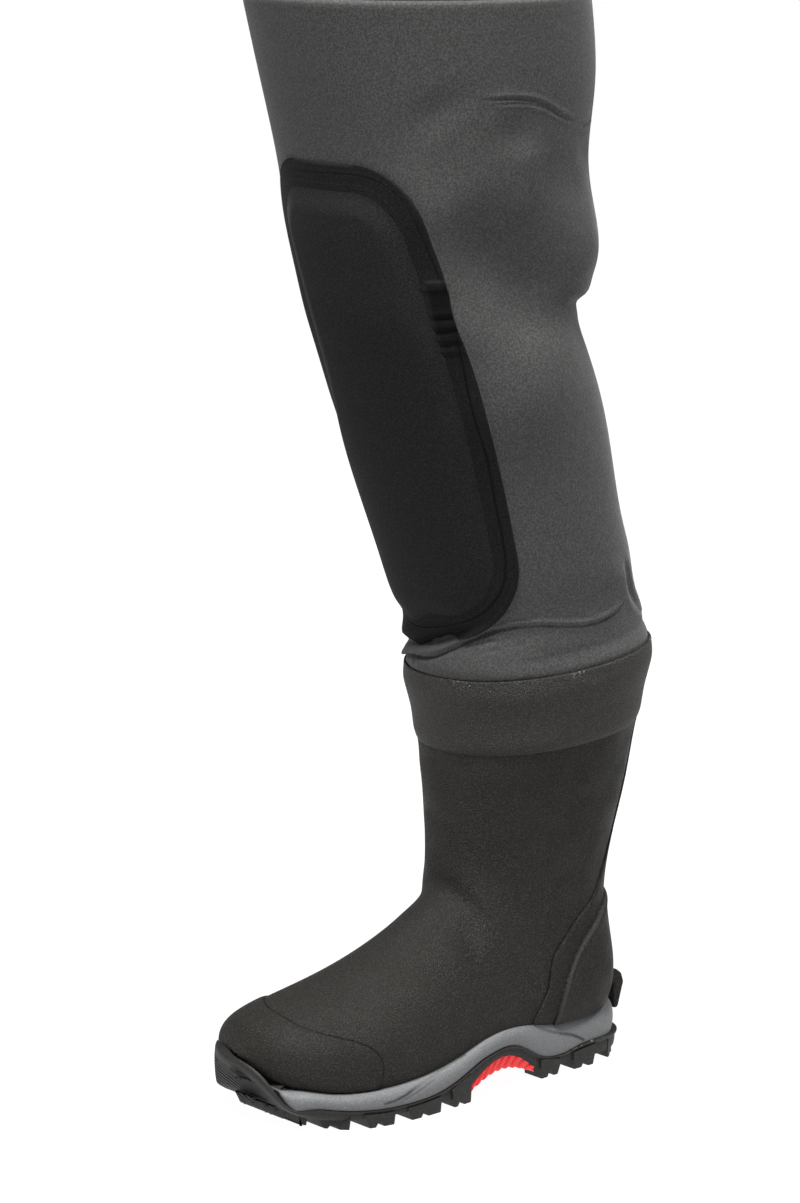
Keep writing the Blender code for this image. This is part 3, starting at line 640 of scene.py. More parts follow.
def quads(rows, columns, ring=False, tube=False):
    """Faces of a grid of points; ring joins its last column to its first, tube its last row to its first."""
    index = np.arange(rows * columns).reshape(rows, columns)
    if ring:
        index = np.concatenate([index, index[:, :1]], axis=1)
    if tube:
        index = np.concatenate([index, index[:1]], axis=0)
    corners = [index[:-1, :-1], index[1:, :-1], index[1:, 1:], index[:-1, 1:]]
    return np.stack(corners, -1).reshape(-1, 4).tolist()


def shut_tube(rows, columns):
    """Faces of a tube of rings, with both its ends shut."""
    faces = quads(rows, columns, ring=True)
    last = (rows - 1) * columns
    faces.append(list(range(columns)))
    faces.append(list(range(last, last + columns))[::-1])
    return faces


def rolled_edge(points, normals, thickness, turns, up=1):
    """Rings of a rounded edge that turns in from the outer ring of a wall, at the given turns."""
    half = thickness / 2
    rings = []
    for turn in np.radians(turns):
        height = np.array((0, 0, up * half * np.sin(turn)))
        rings.append(points + half * (np.cos(turn) - 1) * normals + height)
    return np.array(rings)


def settle(piece, sharp):
    """Apply a piece's modifiers, and shade it smooth up to an edge angle."""
    bpy.context.view_layer.update()
    done = bpy.data.meshes.new_from_object(piece.evaluated_get(bpy.context.evaluated_depsgraph_get()))
    piece.modifiers.clear()
    old = piece.data
    piece.data = done
    done.name = old.name
    bpy.data.meshes.remove(old)
    done.polygons.foreach_set("use_smooth", [True] * len(done.polygons))
    done.set_sharp_from_angle(angle=math.radians(sharp))


def add_block(body, profile, side_at, width):
    """Block from a profile of stations, heights and draws. side_at gives its first side at a station, width
    runs inwards from there, and a draw takes both sides in."""
    ends = []
    for inset, way in ((0.0, 1), (width, -1)):
        loop = []
        for station, height, draw in profile:
            side = side_at(station) - inset - way * np.sign(width) * draw
            loop.append(body.verts.new(world((station, float(side), float(height)))))
        ends.append(loop)
    made = [body.faces.new(ends[0]), body.faces.new(ends[1][::-1])]
    for i in range(len(profile)):
        k = (i + 1) % len(profile)
        made.append(body.faces.new((ends[0][k], ends[0][i], ends[1][i], ends[1][k])))
    bmesh.ops.recalc_face_normals(body, faces=made)


def round_edges(body, radius, segments, clamp=False):
    bmesh.ops.bevel(
        body, geom=body.edges[:], offset=radius * MM, segments=segments, profile=0.5, affect="EDGES",
        clamp_overlap=clamp,
    )


def turn_out(mesh):
    """Face a closed mesh outwards."""
    body = bmesh.new()
    body.from_mesh(mesh)
    bmesh.ops.recalc_face_normals(body, faces=body.faces)
    body.to_mesh(mesh)
    body.free()


def boolean(piece, operation, cutter):
    step = piece.modifiers.new("cut", "BOOLEAN")
    step.operation = operation
    step.solver = "MANIFOLD"
    step.object = cutter


def discard(piece):
    mesh = piece.data
    bpy.data.objects.remove(piece)
    bpy.data.meshes.remove(mesh)


def place_piece(piece, node):
    """A piece of the one body, and the solid that it replaces."""
    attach(piece, "root")
    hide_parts(node)


# Overlays on the boot
STEPS = [(1, 0), (-1, 0), (0, 1), (0, -1), (1, 1), (1, -1), (-1, 1), (-1, -1)]
HALVINGS = 12
LEAST_SPACING = 1e-6
LEAST_EDGE = 1e-6
STEEPNESS = (0.25, 1.5)
BEAD_SPREAD = 0.6


def neighbour(values, i, j, fill):
    """Values one step away on a grid."""
    padded = np.pad(values, 1, constant_values=fill)
    rows, columns = values.shape
    return padded[1 + i : 1 + i + rows, 1 + j : 1 + j + columns]


def true_distance(depth, base):
    """Distance along a grid of points from the line where depth is nought."""
    run, across = np.gradient(base, axis=(0, 1))
    steep = np.hypot(
        np.gradient(depth, axis=0) / np.maximum(np.linalg.norm(run, axis=-1), LEAST_SPACING),
        np.gradient(depth, axis=1) / np.maximum(np.linalg.norm(across, axis=-1), LEAST_SPACING),
    )
    return depth / np.clip(steep, *STEEPNESS)


def pulled_to_edge(place, angle, inside, form):
    """Places and angles of a grid whose points just outside an edge are pulled on to it, and which these
    are. The edge is found by halving the step to a point inside."""
    inner = inside(form(place, angle)) > 0
    edge = np.zeros_like(inner)
    new_place, new_angle = place.copy(), angle.copy()
    for i, j in STEPS:
        near = neighbour(inner, i, j, False) & ~inner & ~edge
        far_place = neighbour(place, i, j, 0.0)[near]
        far_angle = neighbour(angle, i, j, 0.0)[near]
        low_share, high_share = np.zeros(near.sum()), np.ones(near.sum())
        for _ in range(HALVINGS):
            share = (low_share + high_share) / 2
            at_place = place[near] + share * (far_place - place[near])
            at_angle = angle[near] + share * (far_angle - angle[near])
            within = inside(form(at_place, at_angle)) > 0
            high_share = np.where(within, share, high_share)
            low_share = np.where(within, low_share, share)
        new_place[near] = at_place
        new_angle[near] = at_angle
        edge |= near
    return new_place, new_angle, edge


def border_of(shape):
    """Which points of a grid lie on its border."""
    border = np.zeros(shape, bool)
    border[[0, -1]] = True
    border[:, [0, -1]] = True
    return border


def overlay(name, places, angles, inside, low, thickness, round_off, material, bead=0.0, form=boot_point):
    """Sheet on a form where inside is above nought, with a rounded edge that runs down to the form and a
    soft bead along it."""
    place, angle = grid(places, angles)
    depth = inside(form(place, angle))
    inner = depth > 0
    place, angle, edge = pulled_to_edge(place, angle, inside, form)
    base = form(place, angle)
    normal = normals_of(form, place, angle)
    depth = true_distance(np.where(edge, 0, depth), base)
    shut = edge | (inner & border_of(place.shape))
    rise = np.sqrt(1 - (1 - ramp(0, round_off, depth)) ** 2)
    ridge = bead * bell(depth - round_off, BEAD_SPREAD * round_off)
    top = base + (low + np.where(shut, 0, thickness * rise + ridge))[..., None] * normal
    bottom = base + low * normal
    corners = np.array(quads(*place.shape))
    corners = corners[inner.ravel()[corners].any(1)]
    used = np.unique(corners)
    top_index = np.full(place.size, -1)
    top_index[used] = np.arange(len(used))
    open_used = used[~shut.ravel()[used]]
    under_index = top_index.copy()
    under_index[open_used] = len(used) + np.arange(len(open_used))
    points = np.concatenate([top.reshape(-1, 3)[used], bottom.reshape(-1, 3)[open_used]])
    faces = top_index[corners].tolist() + under_index[corners][:, ::-1].tolist()
    depths = np.concatenate([depth.ravel()[used], np.zeros(len(open_used))])
    piece = new_piece(name, points, faces, material, {"edge": depths})
    body = bmesh.new()
    body.from_mesh(piece.data)
    bmesh.ops.dissolve_degenerate(body, edges=body.edges, dist=LEAST_EDGE)
    body.to_mesh(piece.data)
    body.free()
    return piece


# Materials

RUBBER_DARK = (0.0122, 0.0114, 0.0101)
RUBBER_LIGHT = (0.0196, 0.0184, 0.0165)
RUBBER_SPECK = (0.045, 0.0423, 0.0383)
CUFF_TONE = 1.4
PAD_TONE = 1.25
FRAY_COLOUR = (0.3, 0.285, 0.26)
# Tone of the painted highlight along the heel panel's rounded edge
EDGE_HIGHLIGHT_COLOUR = (0.05, 0.049, 0.047)
NEOPRENE_TONES = ((0.0465, 0.0461, 0.0458), (0.056, 0.0555, 0.0548), (0.096, 0.0948, 0.0932))
FOAM_TONES = ((0.118, 0.121, 0.124), (0.148, 0.151, 0.155), (0.195, 0.199, 0.203))
# Tone of the painted highlight along the midsole's foot
FOAM_FOOT_HIGHLIGHT = (0.24, 0.244, 0.248)
TREAD_TONES = ((0.011, 0.0105, 0.01), (0.019, 0.0185, 0.0175), (0.034, 0.0325, 0.03))
GLUE_COLOUR = (0.34, 0.31, 0.22)
RED_TONES = ((0.78, 0.022, 0.026), (0.9, 0.04, 0.045))

# Grains, in features to a metre
RUBBER_SPECKLE = 1250.0
RUBBER_GRAIN = 1000.0
ANKLE_GRAIN = 420.0
CUFF_GRAIN = 900.0
FRAY_GRAIN = 420.0
NEOPRENE_KNIT = 800.0
NEOPRENE_GRAIN = 1700.0
PAD_KNIT = 1300.0
STITCH_WAVES = 76.0
FOAM_SPECKLE = 1100.0
TREAD_SPECKLE = 800.0
GLUE_GRAIN = 330.0
FOOTBED_WEAVE = 900.0

# Turns of the ankle's grain and of the stitches, and the grain's stretch up the leg
ANKLE_TURN = (0.0, 0.6, 0.0)
ANKLE_STRETCH = (1.0, 1.0, 0.55)
STITCH_TURN = (0.0, 0.0, 1.1)

# Distances from an edge, in millimetres, of the stitches, of a groove's painted shade and of a painted
# highlight line
STITCH_INSETS = (4.0, 12.5)
GROOVE_PLACE = -0.35
EDGE_HIGHLIGHT_PLACE = 1.5


def grey(tone):
    return (tone, tone, tone)


class Shader:
    """Node material built a call at a time. Textures are read in the part's own metres, so a scale counts
    features in a metre, and a bump's distance is in metres."""

    SHEEN_ROUGHNESS = 0.3

    def __init__(self, name, colour, roughness, specular, sheen=0.0):
        self.material = bpy.data.materials.new(name)
        self.material.use_nodes = True
        self.tree = self.material.node_tree
        self.bsdf = self.tree.nodes["Principled BSDF"]
        self.bsdf.inputs["Base Color"].default_value = (*colour, 1.0)
        self.bsdf.inputs["Roughness"].default_value = roughness
        self.bsdf.inputs["Specular IOR Level"].default_value = specular
        self.bsdf.inputs["Sheen Weight"].default_value = sheen
        self.bsdf.inputs["Sheen Roughness"].default_value = self.SHEEN_ROUGHNESS
        self.place = self.tree.nodes.new("ShaderNodeTexCoord").outputs["Object"]
        self.normal = None

    def node(self, kind, inputs=None, **settings):
        made = self.tree.nodes.new(kind)
        for key, value in settings.items():
            setattr(made, key, value)
        for key, value in (inputs or {}).items():
            if isinstance(value, bpy.types.NodeSocket):
                self.tree.links.new(value, made.inputs[key])
            else:
                made.inputs[key].default_value = value
        return made

    def noise(self, scale, detail=2.0, roughness=0.5):
        values = {"Vector": self.place, "Scale": scale, "Detail": detail, "Roughness": roughness}
        return self.node("ShaderNodeTexNoise", values).outputs["Fac"]

    def turned(self, turn, stretch=(1.0, 1.0, 1.0)):
        values = {"Vector": self.place, "Scale": stretch, "Rotation": turn}
        return self.node("ShaderNodeMapping", values).outputs["Vector"]

    def cells(self, scale, place=None):
        values = {"Vector": place or self.place, "Scale": scale}
        return self.node("ShaderNodeTexVoronoi", values).outputs["Distance"]

    def waves(self, scale, turn):
        values = {"Vector": self.turned(turn), "Scale": scale}
        return self.node("ShaderNodeTexWave", values).outputs["Fac"]

    def attribute(self, name):
        return self.node("ShaderNodeAttribute", attribute_name=name).outputs["Fac"]

    def math(self, operation, first, second=0.0):
        made = self.node("ShaderNodeMath", {0: first, 1: second}, operation=operation)
        return made.outputs[0]

    def times(self, first, second):
        return self.math("MULTIPLY", first, second)

    def minus(self, value):
        return self.math("SUBTRACT", 0.0, value)

    def line(self, value, place, inner, outer):
        """One where a value is within inner of a place, nought where it is past outer."""
        away = self.math("ABSOLUTE", self.math("SUBTRACT", value, place))
        return self.band(away, inner, outer, 1.0, 0.0)

    def band(self, value, low, high, at_low=0.0, at_high=1.0):
        """Smooth step from one value to another."""
        values = {"Value": value, "From Min": low, "From Max": high, "To Min": at_low, "To Max": at_high}
        return self.node("ShaderNodeMapRange", values, interpolation_type="SMOOTHSTEP").outputs["Result"]

    def blend(self, share, first, second):
        """Colour between two others."""
        made = self.node("ShaderNodeMix", {"Factor": share}, data_type="RGBA")
        for socket, value in ((made.inputs[6], first), (made.inputs[7], second)):
            if isinstance(value, bpy.types.NodeSocket):
                self.tree.links.new(value, socket)
            else:
                socket.default_value = (*value, 1.0)
        return made.outputs[2]

    def bump(self, height, strength, distance):
        values = {"Height": height, "Strength": strength, "Distance": distance}
        if self.normal:
            values["Normal"] = self.normal
        self.normal = self.node("ShaderNodeBump", values).outputs["Normal"]
        self.tree.links.new(self.normal, self.bsdf.inputs["Normal"])

    def wire(self, socket, name):
        self.tree.links.new(socket, self.bsdf.inputs[name])


def mottled(shade, mottle, tones, speckle, low, high):
    """Colour that drifts from a dark tone to a light one, mottle times in a metre, with specks of a third
    tone where the speckle runs from low to high."""
    dark, light, speck = tones
    colour = shade.blend(shade.noise(mottle, 3.0), dark, light)
    return shade.blend(shade.band(speckle, low, high), colour, speck)


def rubber_colour(shade, tone=1.0):
    """Mottled rubber with a fine pale speckle."""
    tones = tone * np.array([RUBBER_DARK, RUBBER_LIGHT, RUBBER_SPECK])
    return mottled(shade, 14.0, tones, shade.noise(RUBBER_SPECKLE, 1.0), 0.42, 0.78)


def make_rubber():
    """Boot rubber with a fine pebbled grain, coarser at the ankle, and painted shade in the grooves beside
    the overlays.
    """
    shade = Shader("boot_rubber", RUBBER_DARK, roughness=0.6, specular=0.13)
    colour = rubber_colour(shade)
    # Painted shade: a near-black line, dented by a bump, in the groove beside each overlay's edge
    for name, depth in (("cap_edge", 0.75), ("stay_edge", 0.9)):
        line = shade.line(shade.attribute(name), GROOVE_PLACE, 0.15, 0.9)
        line = shade.times(line, shade.band(shade.noise(22.0), 0.3, 0.6, 0.55, 1.0))
        colour = shade.blend(shade.times(line, depth), colour, grey(0.004))
        shade.bump(shade.minus(line), 0.5, 0.0005)
    shade.wire(colour, "Base Color")
    coarse = shade.attribute("coarse")
    roughness = shade.band(shade.noise(60.0), 0.3, 0.7, 0.54, 0.68)
    shade.wire(shade.math("SUBTRACT", roughness, shade.times(coarse, 0.1)), "Roughness")
    shade.bump(shade.cells(RUBBER_GRAIN), 0.8, 0.0006)
    leather = shade.cells(ANKLE_GRAIN, shade.turned(ANKLE_TURN, ANKLE_STRETCH))
    shade.bump(shade.times(leather, coarse), 0.36, 0.001)
    return shade.material


def make_smooth_rubber(name, edge_light):
    """The same rubber, smoother, for the pieces round the heel and the toe; edge_light is how strong a
    painted highlight along its rounded edge is."""
    shade = Shader(name, RUBBER_DARK, roughness=0.55, specular=0.1)
    colour = rubber_colour(shade)
    # Painted highlight: a paler line just inside the rounded edge
    edge_highlight = shade.line(shade.attribute("edge"), EDGE_HIGHLIGHT_PLACE, 0.2, 1.5)
    colour = shade.blend(shade.times(edge_highlight, edge_light), colour, EDGE_HIGHLIGHT_COLOUR)
    shade.wire(colour, "Base Color")
    shade.wire(shade.band(shade.noise(80.0), 0.3, 0.7, 0.52, 0.66), "Roughness")
    shade.bump(shade.cells(RUBBER_GRAIN), 0.6, 0.0006)
    return shade.material


def make_cuff_rubber():
    """Cuff rubber, with pale frayed fibres along the rim."""
    shade = Shader("cuff_rubber", RUBBER_DARK, roughness=0.62, specular=0.25)
    colour = rubber_colour(shade, CUFF_TONE)
    fibre = shade.band(shade.noise(FRAY_GRAIN, 3.0, 0.7), 0.58, 0.66)
    patchy = shade.band(shade.noise(38.0, 2.0), 0.48, 0.62)
    fray = shade.times(shade.times(fibre, patchy), shade.attribute("rim"))
    shade.wire(shade.blend(fray, colour, FRAY_COLOUR), "Base Color")
    shade.bump(shade.cells(CUFF_GRAIN), 0.9, 0.0007)
    shade.bump(fray, 0.5, 0.0006)
    return shade.material


def make_neoprene():
    """Grey knit facing over foam."""
    shade = Shader("neoprene", (0.05, 0.05, 0.051), roughness=0.8, specular=0.2, sheen=0.12)
    knit = shade.noise(NEOPRENE_KNIT, 3.0, 0.6)
    shade.wire(mottled(shade, 9.0, NEOPRENE_TONES, knit, 0.38, 0.68), "Base Color")
    shade.bump(knit, 0.35, 0.0005)
    shade.bump(shade.cells(NEOPRENE_GRAIN), 0.25, 0.0004)
    return shade.material


def make_pad_cloth(name, dark, light):
    """Black knit of the knee panel, with a darker strip, painted shade in a seam's groove, a painted
    highlight along a step, and stitched lines at set distances from its edge.
    """
    shade = Shader(name, dark, roughness=0.86, specular=0.08, sheen=0.04)
    edge = shade.attribute("edge")
    knit = shade.noise(PAD_KNIT, 2.0, 0.6)
    tones = (dark, tuple(PAD_TONE * c for c in dark), light)
    colour = mottled(shade, 11.0, tones, knit, 0.4, 0.72)
    colour = shade.blend(shade.attribute("dark"), colour, grey(0.003))
    # Painted shade: a near-black line, dented by a bump, in the seam's groove
    groove = shade.times(shade.line(shade.attribute("seam"), 0.0, 0.1, 0.8), shade.attribute("groove"))
    colour = shade.blend(groove, colour, grey(0.002))
    dash = shade.band(shade.waves(STITCH_WAVES, STITCH_TURN), 0.3, 0.5)
    for inset in STITCH_INSETS:
        line = shade.times(shade.line(edge, inset, 0.2, 0.6), dash)
        colour = shade.blend(shade.times(line, shade.attribute("stitch")), colour, grey(0.03))
    # Painted highlight: a pale line along the edge of the step in the border
    colour = shade.blend(shade.attribute("pale"), colour, grey(0.05))
    shade.wire(colour, "Base Color")
    shade.bump(knit, 0.35, 0.0005)
    shade.bump(shade.minus(groove), 0.6, 0.0008)
    return shade.material


def make_foam():
    """Grey midsole foam, finely mottled, with a painted highlight along its foot and painted shade in its
    grooves and along its top.
    """
    shade = Shader("midsole_foam", (0.14, 0.143, 0.147), roughness=0.55, specular=0.3)
    speckle = shade.noise(FOAM_SPECKLE, 2.0)
    colour = mottled(shade, 20.0, FOAM_TONES, speckle, 0.38, 0.75)
    # Painted highlight: paler along the foot of the midsole
    foot = shade.band(shade.attribute("foot"), 0.5, 1.5, 0.4, 0.0)
    colour = shade.blend(foot, colour, FOAM_FOOT_HIGHLIGHT)
    # Painted shade: darker in the grooves
    groove = shade.band(shade.attribute("groove"), 0.15, 1.0)
    colour = shade.blend(groove, colour, grey(0.025))
    # Painted shade: darker along the top, where the midsole meets the boot
    top = shade.band(shade.attribute("top"), 0.1, 0.9, 1.0, 0.0)
    colour = shade.blend(shade.times(top, 0.9), colour, grey(0.01))
    shade.wire(colour, "Base Color")
    shade.bump(speckle, 0.25, 0.0004)
    return shade.material


def make_tread():
    """Black sole rubber, with pale specks of glue along the joint, a dark line round the toe's window and
    ribs in it, with painted shade between them.
    """
    shade = Shader("tread_rubber", (0.014, 0.0135, 0.013), roughness=0.6, specular=0.3)
    speckle = shade.noise(TREAD_SPECKLE, 2.0)
    colour = mottled(shade, 25.0, TREAD_TONES, speckle, 0.45, 0.8)
    window = shade.attribute("window")
    colour = shade.blend(shade.times(shade.line(window, 0.5, 0.1, 0.4), 0.8), colour, grey(0.003))
    # Painted shade: darker in the troughs between the ribs
    phase = shade.times(shade.attribute("rib"), 2 * math.pi)
    rib = shade.times(shade.math("SINE", phase), shade.band(window, 0.5, 0.8))
    colour = shade.blend(shade.band(rib, 0.1, 0.9, 0.0, 0.7), colour, grey(0.004))
    glue = shade.band(shade.noise(GLUE_GRAIN, 3.0, 0.65), 0.60, 0.68)
    patchy = shade.band(shade.noise(30.0, 2.0), 0.53, 0.64)
    seam = shade.band(shade.attribute("joint"), 0.2, 1.6, 1.0, 0.0)
    colour = shade.blend(shade.times(shade.times(glue, patchy), seam), colour, GLUE_COLOUR)
    shade.wire(colour, "Base Color")
    shade.bump(speckle, 0.3, 0.0005)
    shade.bump(shade.minus(rib), 0.9, 0.0008)
    return shade.material


def make_red_plastic():
    shade = Shader("red_plastic", (0.85, 0.03, 0.035), roughness=0.42, specular=0.45)
    tone = shade.noise(40.0, 2.0)
    shade.wire(shade.blend(tone, *RED_TONES), "Base Color")
    shade.bump(shade.noise(700.0), 0.12, 0.0003)
    return shade.material


def make_footbed():
    shade = Shader("footbed_cloth", grey(0.09), roughness=0.9, specular=0.2)
    weave = shade.cells(FOOTBED_WEAVE)
    shade.wire(shade.blend(weave, grey(0.06), grey(0.11)), "Base Color")
    shade.bump(weave, 0.4, 0.0005)
    return shade.material


RUBBER = make_rubber()
SMOOTH_RUBBER = make_smooth_rubber("overlay_rubber", 0.0)
COUNTER_RUBBER = make_smooth_rubber("counter_rubber", 0.6)
CUFF_RUBBER = make_cuff_rubber()
NEOPRENE = make_neoprene()
PATCH_CLOTH = make_pad_cloth("patch_cloth", (0.0085, 0.0084, 0.0083), (0.023, 0.0228, 0.0225))
PAD_CLOTH = make_pad_cloth("pad_cloth", (0.0125, 0.0121, 0.0121), (0.033, 0.032, 0.032))
FOAM = make_foam()
TREAD_RUBBER = make_tread()
RED_PLASTIC = make_red_plastic()
FOOTBED = make_footbed()


# The boot


def cap_inside(points):
    """Distance into the toe cap from its edge."""
    station, side, _ = np.moveaxis(points, -1, 0)
    sweep = np.where(side > CAP_MIDDLE, CAP_OUTER_SWEEP, CAP_INNER_SWEEP)
    share = np.abs((side - CAP_MIDDLE) / HALF_BALL)
    edge = CAP_STATION - sweep * share**CAP_POWER
    slope = sweep * CAP_POWER * share ** (CAP_POWER - 1) / HALF_BALL
    return np.minimum((station - edge) / np.hypot(1, slope), above_sole(points))


def behind_line(points, line, direction):
    """Distance behind a line that runs up the side of the boot, seen from the side."""
    nearest, offset = nearest_offset(points.reshape(-1, 3)[:, [0, 2]], line)
    run = direction[nearest]
    across = run[:, 0] * offset[:, 1] - run[:, 1] * offset[:, 0]
    distance = np.linalg.norm(offset, axis=1)
    return np.where(across >= 0, distance, -distance).reshape(points.shape[:-1])


# The heel band's edge runs on up the back of the shaft, past the strip's top
STRIP_RUN_OUT = 6.0
STRIP_POINTS = 8
STRIP_HEIGHTS = np.linspace(STRIP_FOOT, STRIP_TOP + STRIP_RUN_OUT, STRIP_POINTS)
STRIP_EDGE = np.stack([heel_line(STRIP_HEIGHTS) + STRIP_DEPTH, STRIP_HEIGHTS], 1)
STAY_STEPS = 160
COUNTER_STEPS = 120
STAY_LINE = smooth_line(np.concatenate([BACKSTAY_EDGE, STRIP_EDGE]), STAY_STEPS)
COUNTER_LINE = smooth_line(COUNTER_EDGE, COUNTER_STEPS)


def above_sole(points):
    return points[..., 2] - collar_height(points)


def stay_inside(points):
    """Distance into the heel band from its edge."""
    inside = np.minimum(behind_line(points, *STAY_LINE), above_sole(points))
    return np.minimum(inside, STRIP_TOP - points[..., 2])


def counter_inside(points):
    """Distance into the heel panel from its edge."""
    return np.minimum(behind_line(points, *COUNTER_LINE), above_sole(points))


UPPER_CREASES = [
    # The ankle's hollow, the bend of the instep and the slack of the shaft
    Crease([(128, 28, 118), (131.5, 35, 97), (132.2, 41, 83.8), (124, 45.5, 64)], 8.0, 1.7, 0.5, 0.2),
    Crease([(128, -28, 118), (131.5, -35, 97), (130, -41, 82)], 6.0, 1.0, 0.4, 0.4),
    Crease([(104, 50, 116), (98, 52, 98), (94, 52, 78)], 11.0, 1.2, 0.4, 0.4),
    Crease([(30, 46, 178), (70, 54, 172), (110, 44, 170)], 14.0, 0.8),
]
RIM_WALL = 1.8
UPPER_ROWS = ((0, 3, 60), (3, 9, 110), (9, RIM, 130))
LINING_ROWS = ((RIM, 9, 34), (9, 0.9, 16))
ROLL_TURNS = (30, 60, 90, 120, 150)
FAR_AWAY = 50.0

# Coarse grain at the ankle: its middle, its stretch, where it starts and where it is full
COARSE_GRAIN = (114.0, 44.0, 72.0)
COARSE_STRETCH = (1.0, 0.6, 0.8)
COARSE_START = 52.0
COARSE_FULL = 8.0


def make_upper():
    """Hollow boot with a rounded rim; its shader knows how far the overlays' edges are."""
    place, angle = grid(stretches(*UPPER_ROWS), AROUND)
    base = boot_point(place, angle)
    normal = normals_of(boot_point, place, angle)
    push, _ = crease_field(base, normal, UPPER_CREASES)
    outer = base + push[..., None] * normal
    roll = rolled_edge(base[-1], normal[-1], RIM_WALL, ROLL_TURNS)
    place_in, angle_in = grid(stretches(*LINING_ROWS), AROUND)
    wall = np.interp(place_in, [RIM - 1, RIM], [RUBBER_WALL, RIM_WALL])
    inner = boot_point(place_in, angle_in) - wall[..., None] * normals_of(boot_point, place_in, angle_in)
    rings = np.concatenate([outer, roll, inner])
    points = rings.reshape(-1, 3)
    away = np.linalg.norm((points - COARSE_GRAIN) * COARSE_STRETCH, axis=1)
    attributes = {"coarse": smooth_step(COARSE_START, COARSE_FULL, away)}
    hidden = np.full(len(points) - place.size, FAR_AWAY)
    for key, inside in (("cap_edge", cap_inside), ("stay_edge", stay_inside)):
        attributes[key] = np.concatenate([true_distance(inside(base), base).ravel(), hidden])
    piece = new_piece("boot_upper", points, shut_tube(len(rings), len(AROUND)), RUBBER, attributes)
    place_piece(piece, "upper")


# Rows and angles of the boot that the overlays lie within, and how far their edges are rounded
CAP_ROWS = ((-0.95 * TIP_SPAN, 0, 14), (0, 6.6, 130))
STAY_ROWS = (9, 18.4, 170)
COUNTER_ROWS = (9, 15.2, 130)
CAP_ANGLES = np.arange(-45, 226, 1.5)
HEEL_ANGLES = np.arange(176, 365, 1.5)
CAP_EDGE_ROUND = 4.0
STAY_EDGE_ROUND = 2.0
COUNTER_EDGE_ROUND = 3.2
COUNTER_THICKNESS = 2.2
COUNTER_BEAD = 0.5
SHEET_LIFT = 0.05


def make_overlays():
    """Toe cap, heel band and heel panel."""
    cap = overlay(
        "toe_cap_sheet", stretches(*CAP_ROWS), CAP_ANGLES, cap_inside,
        SHEET_LIFT, OVERLAY, CAP_EDGE_ROUND, SMOOTH_RUBBER, form=toe_point,
    )
    place_piece(cap, "toe_cap")
    stay = overlay(
        "heel_band", np.linspace(*STAY_ROWS), HEEL_ANGLES, stay_inside,
        SHEET_LIFT, OVERLAY, STAY_EDGE_ROUND, SMOOTH_RUBBER,
    )
    place_piece(stay, "backstay")
    counter = overlay(
        "heel_panel", np.linspace(*COUNTER_ROWS), HEEL_ANGLES, counter_inside,
        OVERLAY, COUNTER_THICKNESS, COUNTER_EDGE_ROUND, COUNTER_RUBBER, COUNTER_BEAD,
    )
    place_piece(counter, "heel_counter")


# Soft bulges of the cuff: where they are, how far they stand out and how far they spread
Bulge = namedtuple("Bulge", "place height spread")
CUFF_BULGES = [Bulge(19.62, 1.3, 0.32), Bulge(18.87, -0.5, 0.26), Bulge(18.3, 0.6, 0.2)]
CUFF_FOOT_LIFT = 0.45
CUFF_GAP = 0.06
CUFF_INNER_GAP = 0.03
CUFF_STEP = 0.12
CUFF_ROWS = ((CUFF_FOOT, CUFF_FOOT + CUFF_STEP, 7), (CUFF_FOOT + CUFF_STEP, RIM, 44))
CUFF_INNER_ROWS = (RIM, CUFF_FOOT, 12)
CUFF_THICKENING = (18.1, 19.8)
CUFF_ROLL_TURNS = (25, 50, 75, 100, 125, 150)
FRAYED_ROWS = (19.86, 19.98)


def make_cuff():
    """Band round the top of the boot, thicker towards its thin rolled rim."""
    places = stretches(*CUFF_ROWS)
    place, angle = grid(places, AROUND)
    base = boot_point(place, angle)
    normal = normals_of(boot_point, place, angle)
    lift = CUFF_FOOT_LIFT + (CUFF_THICKNESS - CUFF_FOOT_LIFT) * smooth_step(*CUFF_THICKENING, place)
    for bulge in CUFF_BULGES:
        lift = lift + bulge.height * bell(place - bulge.place, bulge.spread)
    lift = CUFF_GAP + lift * smooth_step(CUFF_FOOT, CUFF_FOOT + CUFF_STEP, place)
    outer = base + lift[..., None] * normal
    roll = rolled_edge(outer[-1], normal[-1], lift[-1, 0], CUFF_ROLL_TURNS)
    place_in, angle_in = grid(np.linspace(*CUFF_INNER_ROWS), AROUND)
    inner = boot_point(place_in, angle_in) + CUFF_INNER_GAP * normals_of(boot_point, place_in, angle_in)
    rings = np.concatenate([outer, roll, inner])
    frayed = np.concatenate([smooth_step(*FRAYED_ROWS, places), np.ones(len(roll)), np.zeros(len(inner))])
    faces = quads(len(rings), len(AROUND), ring=True, tube=True)
    attributes = {"rim": np.repeat(frayed, len(AROUND))}
    piece = new_piece("cuff", rings.reshape(-1, 3), faces, CUFF_RUBBER, attributes)
    place_piece(piece, "cuff_band")


SPUR_OUT = 2.0
SPUR_EDGE_ROUND = 1.5


def make_spur():
    """Ledge at the back of the heel to push the boot off by."""
    body = bmesh.new()
    profile = [(edge.station - SPUR_OUT, edge.height, 0.0) for edge in SPUR_PROFILE]
    add_block(body, profile, lambda station: -SPUR_HALF_WIDTH, -2 * SPUR_HALF_WIDTH)
    round_edges(body, SPUR_EDGE_ROUND, segments=4, clamp=True)
    piece = block_piece("spur", body, SMOOTH_RUBBER)
    place_piece(piece, "kick_spur")


# The sole

END_ANGLES = np.radians(np.concatenate([[1.2, 2.6, 4.6], np.linspace(7, 90, 46)]))
MIDDLE_SECTIONS = 210
SOLE_LEVELS = 19
HUG_POWER = 6

# Row of the boot's sections up to which the sole may touch it, and the counts of rows that stand for it
SOLE_ROW = 16
GAP_ROWS = 300
CUTTER_ROWS = 90
CUTTER_GAP = 0.1


